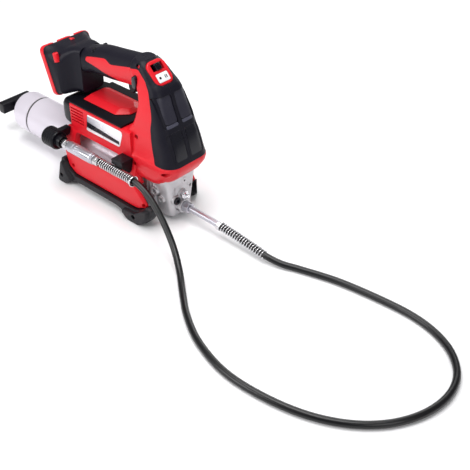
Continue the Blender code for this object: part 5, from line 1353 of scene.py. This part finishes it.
# %% Foot rails
FOOT_RAIL = [
    (-23, 3), (-19, 0), (-4, 0), (5, 5), (15, 9), (96, 9), (105, 6.5), (118, 0), (142, 0), (154, 7), (162, 18),
    (165, 30), (156, 33), (151.6, 26.4), (133.2, 17.7), (9.9, 17.7), (-4.4, 26.8), (-7, 38), (-13, 38), (-18, 20),
]
REAR_FOOT = [
    (-23, 3), (-19, 0), (-4, 0), (6, 5.5), (10, 13), (2, 20), (-3, 30), (-8, 37), (-13, 37), (-18, 20),
]
FRONT_FOOT = [
    (104, 9), (118, 0), (142, 0), (154, 7), (162, 18), (164, 30), (154, 30), (134, 17), (112, 16),
]
for side, word in SIDES:
    low, high = sorted((side * 36, side * 50))
    rail = shape_object(softened(drawn(rounded_outline(FOOT_RAIL, 2.0, 3), low, high), 0.9, 2, 50), word + "_rail")
    for outline in (REAR_FOOT, FRONT_FOOT):
        middle = Vector((sum(p[0] for p in outline), sum(p[1] for p in outline))) / len(outline)
        foot = drawn(rounded_outline(outline, 3.0, 3), *sorted((side * 46.3, side * 55)))
        tip = [v for v in foot.verts if abs(v.co.y) > 54]
        bmesh.ops.scale(foot, vec=(0.8, 1.0, 0.86), verts=tip, space=Matrix.Translation((-middle.x, 0, 0)))
        rims = [e for e in foot.edges if all(abs(v.co.y) > 54 for v in e.verts)]
        bmesh.ops.bevel(foot, geom=rims, offset=1.4, segments=3, affect="EDGES", profile=0.5, material=-1)
        join(rail, foot)
    wells = [rod((x, side * 50, z), (x, side * 60, z), 6.5, 40) for x, z in ((-11, 12), (134, 10))]
    cut(rail, *wells)
    if side > 0:
        cut(rail, drawn([(172, 25), (232, 25), (232, 85), (112, 85)], -5, 60, "Z"))
    settle(word + "_rubber_rail", rail, foot_rubber, instead=(word + "_foot_rail",), sharp=34)
print("feet:", made_pieces[-2:])

# %% [markdown]
# ## Finishes on the CAD pieces that stay
# The gears, the motor and the small turned parts already have their shape, so their own meshes stay and only
# take a finish. A node takes it by having its material slots filled.

# %% Finishes for the rest
inside = {
    "motor_can": steel, "rotor": copper, "cooling_fan": black, "rear_bearing": steel, "front_bearing": steel,
    "output_bearing": steel, "sun_gear": steel, "planet_carrier": steel, "planet_gear_1": brass,
    "planet_gear_2": brass, "planet_gear_3": brass, "ring_gear": steel, "gear_case": aluminium, "crank_disc": steel,
    "crank_yoke": steel, "plunger": steel, "plunger_seal": brass, "follower_piston": seal_rubber,
    "follower_rod": steel, "follower_spring": spring_steel, "trigger_spring": spring_steel, "trigger_switch": black,
    "trigger_pin": steel, "circuit_board": board, "terminal_block": black,
}
stood_for = {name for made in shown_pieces() if "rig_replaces" in made for name in made["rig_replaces"]}
for name, node in nodes.items():
    if name in stood_for:
        continue
    node.data.materials.clear()
    node.data.materials.append(inside[name])
print(len(made_pieces), "pieces made new;", len(nodes) - len(stood_for), "CAD nodes keep their mesh")
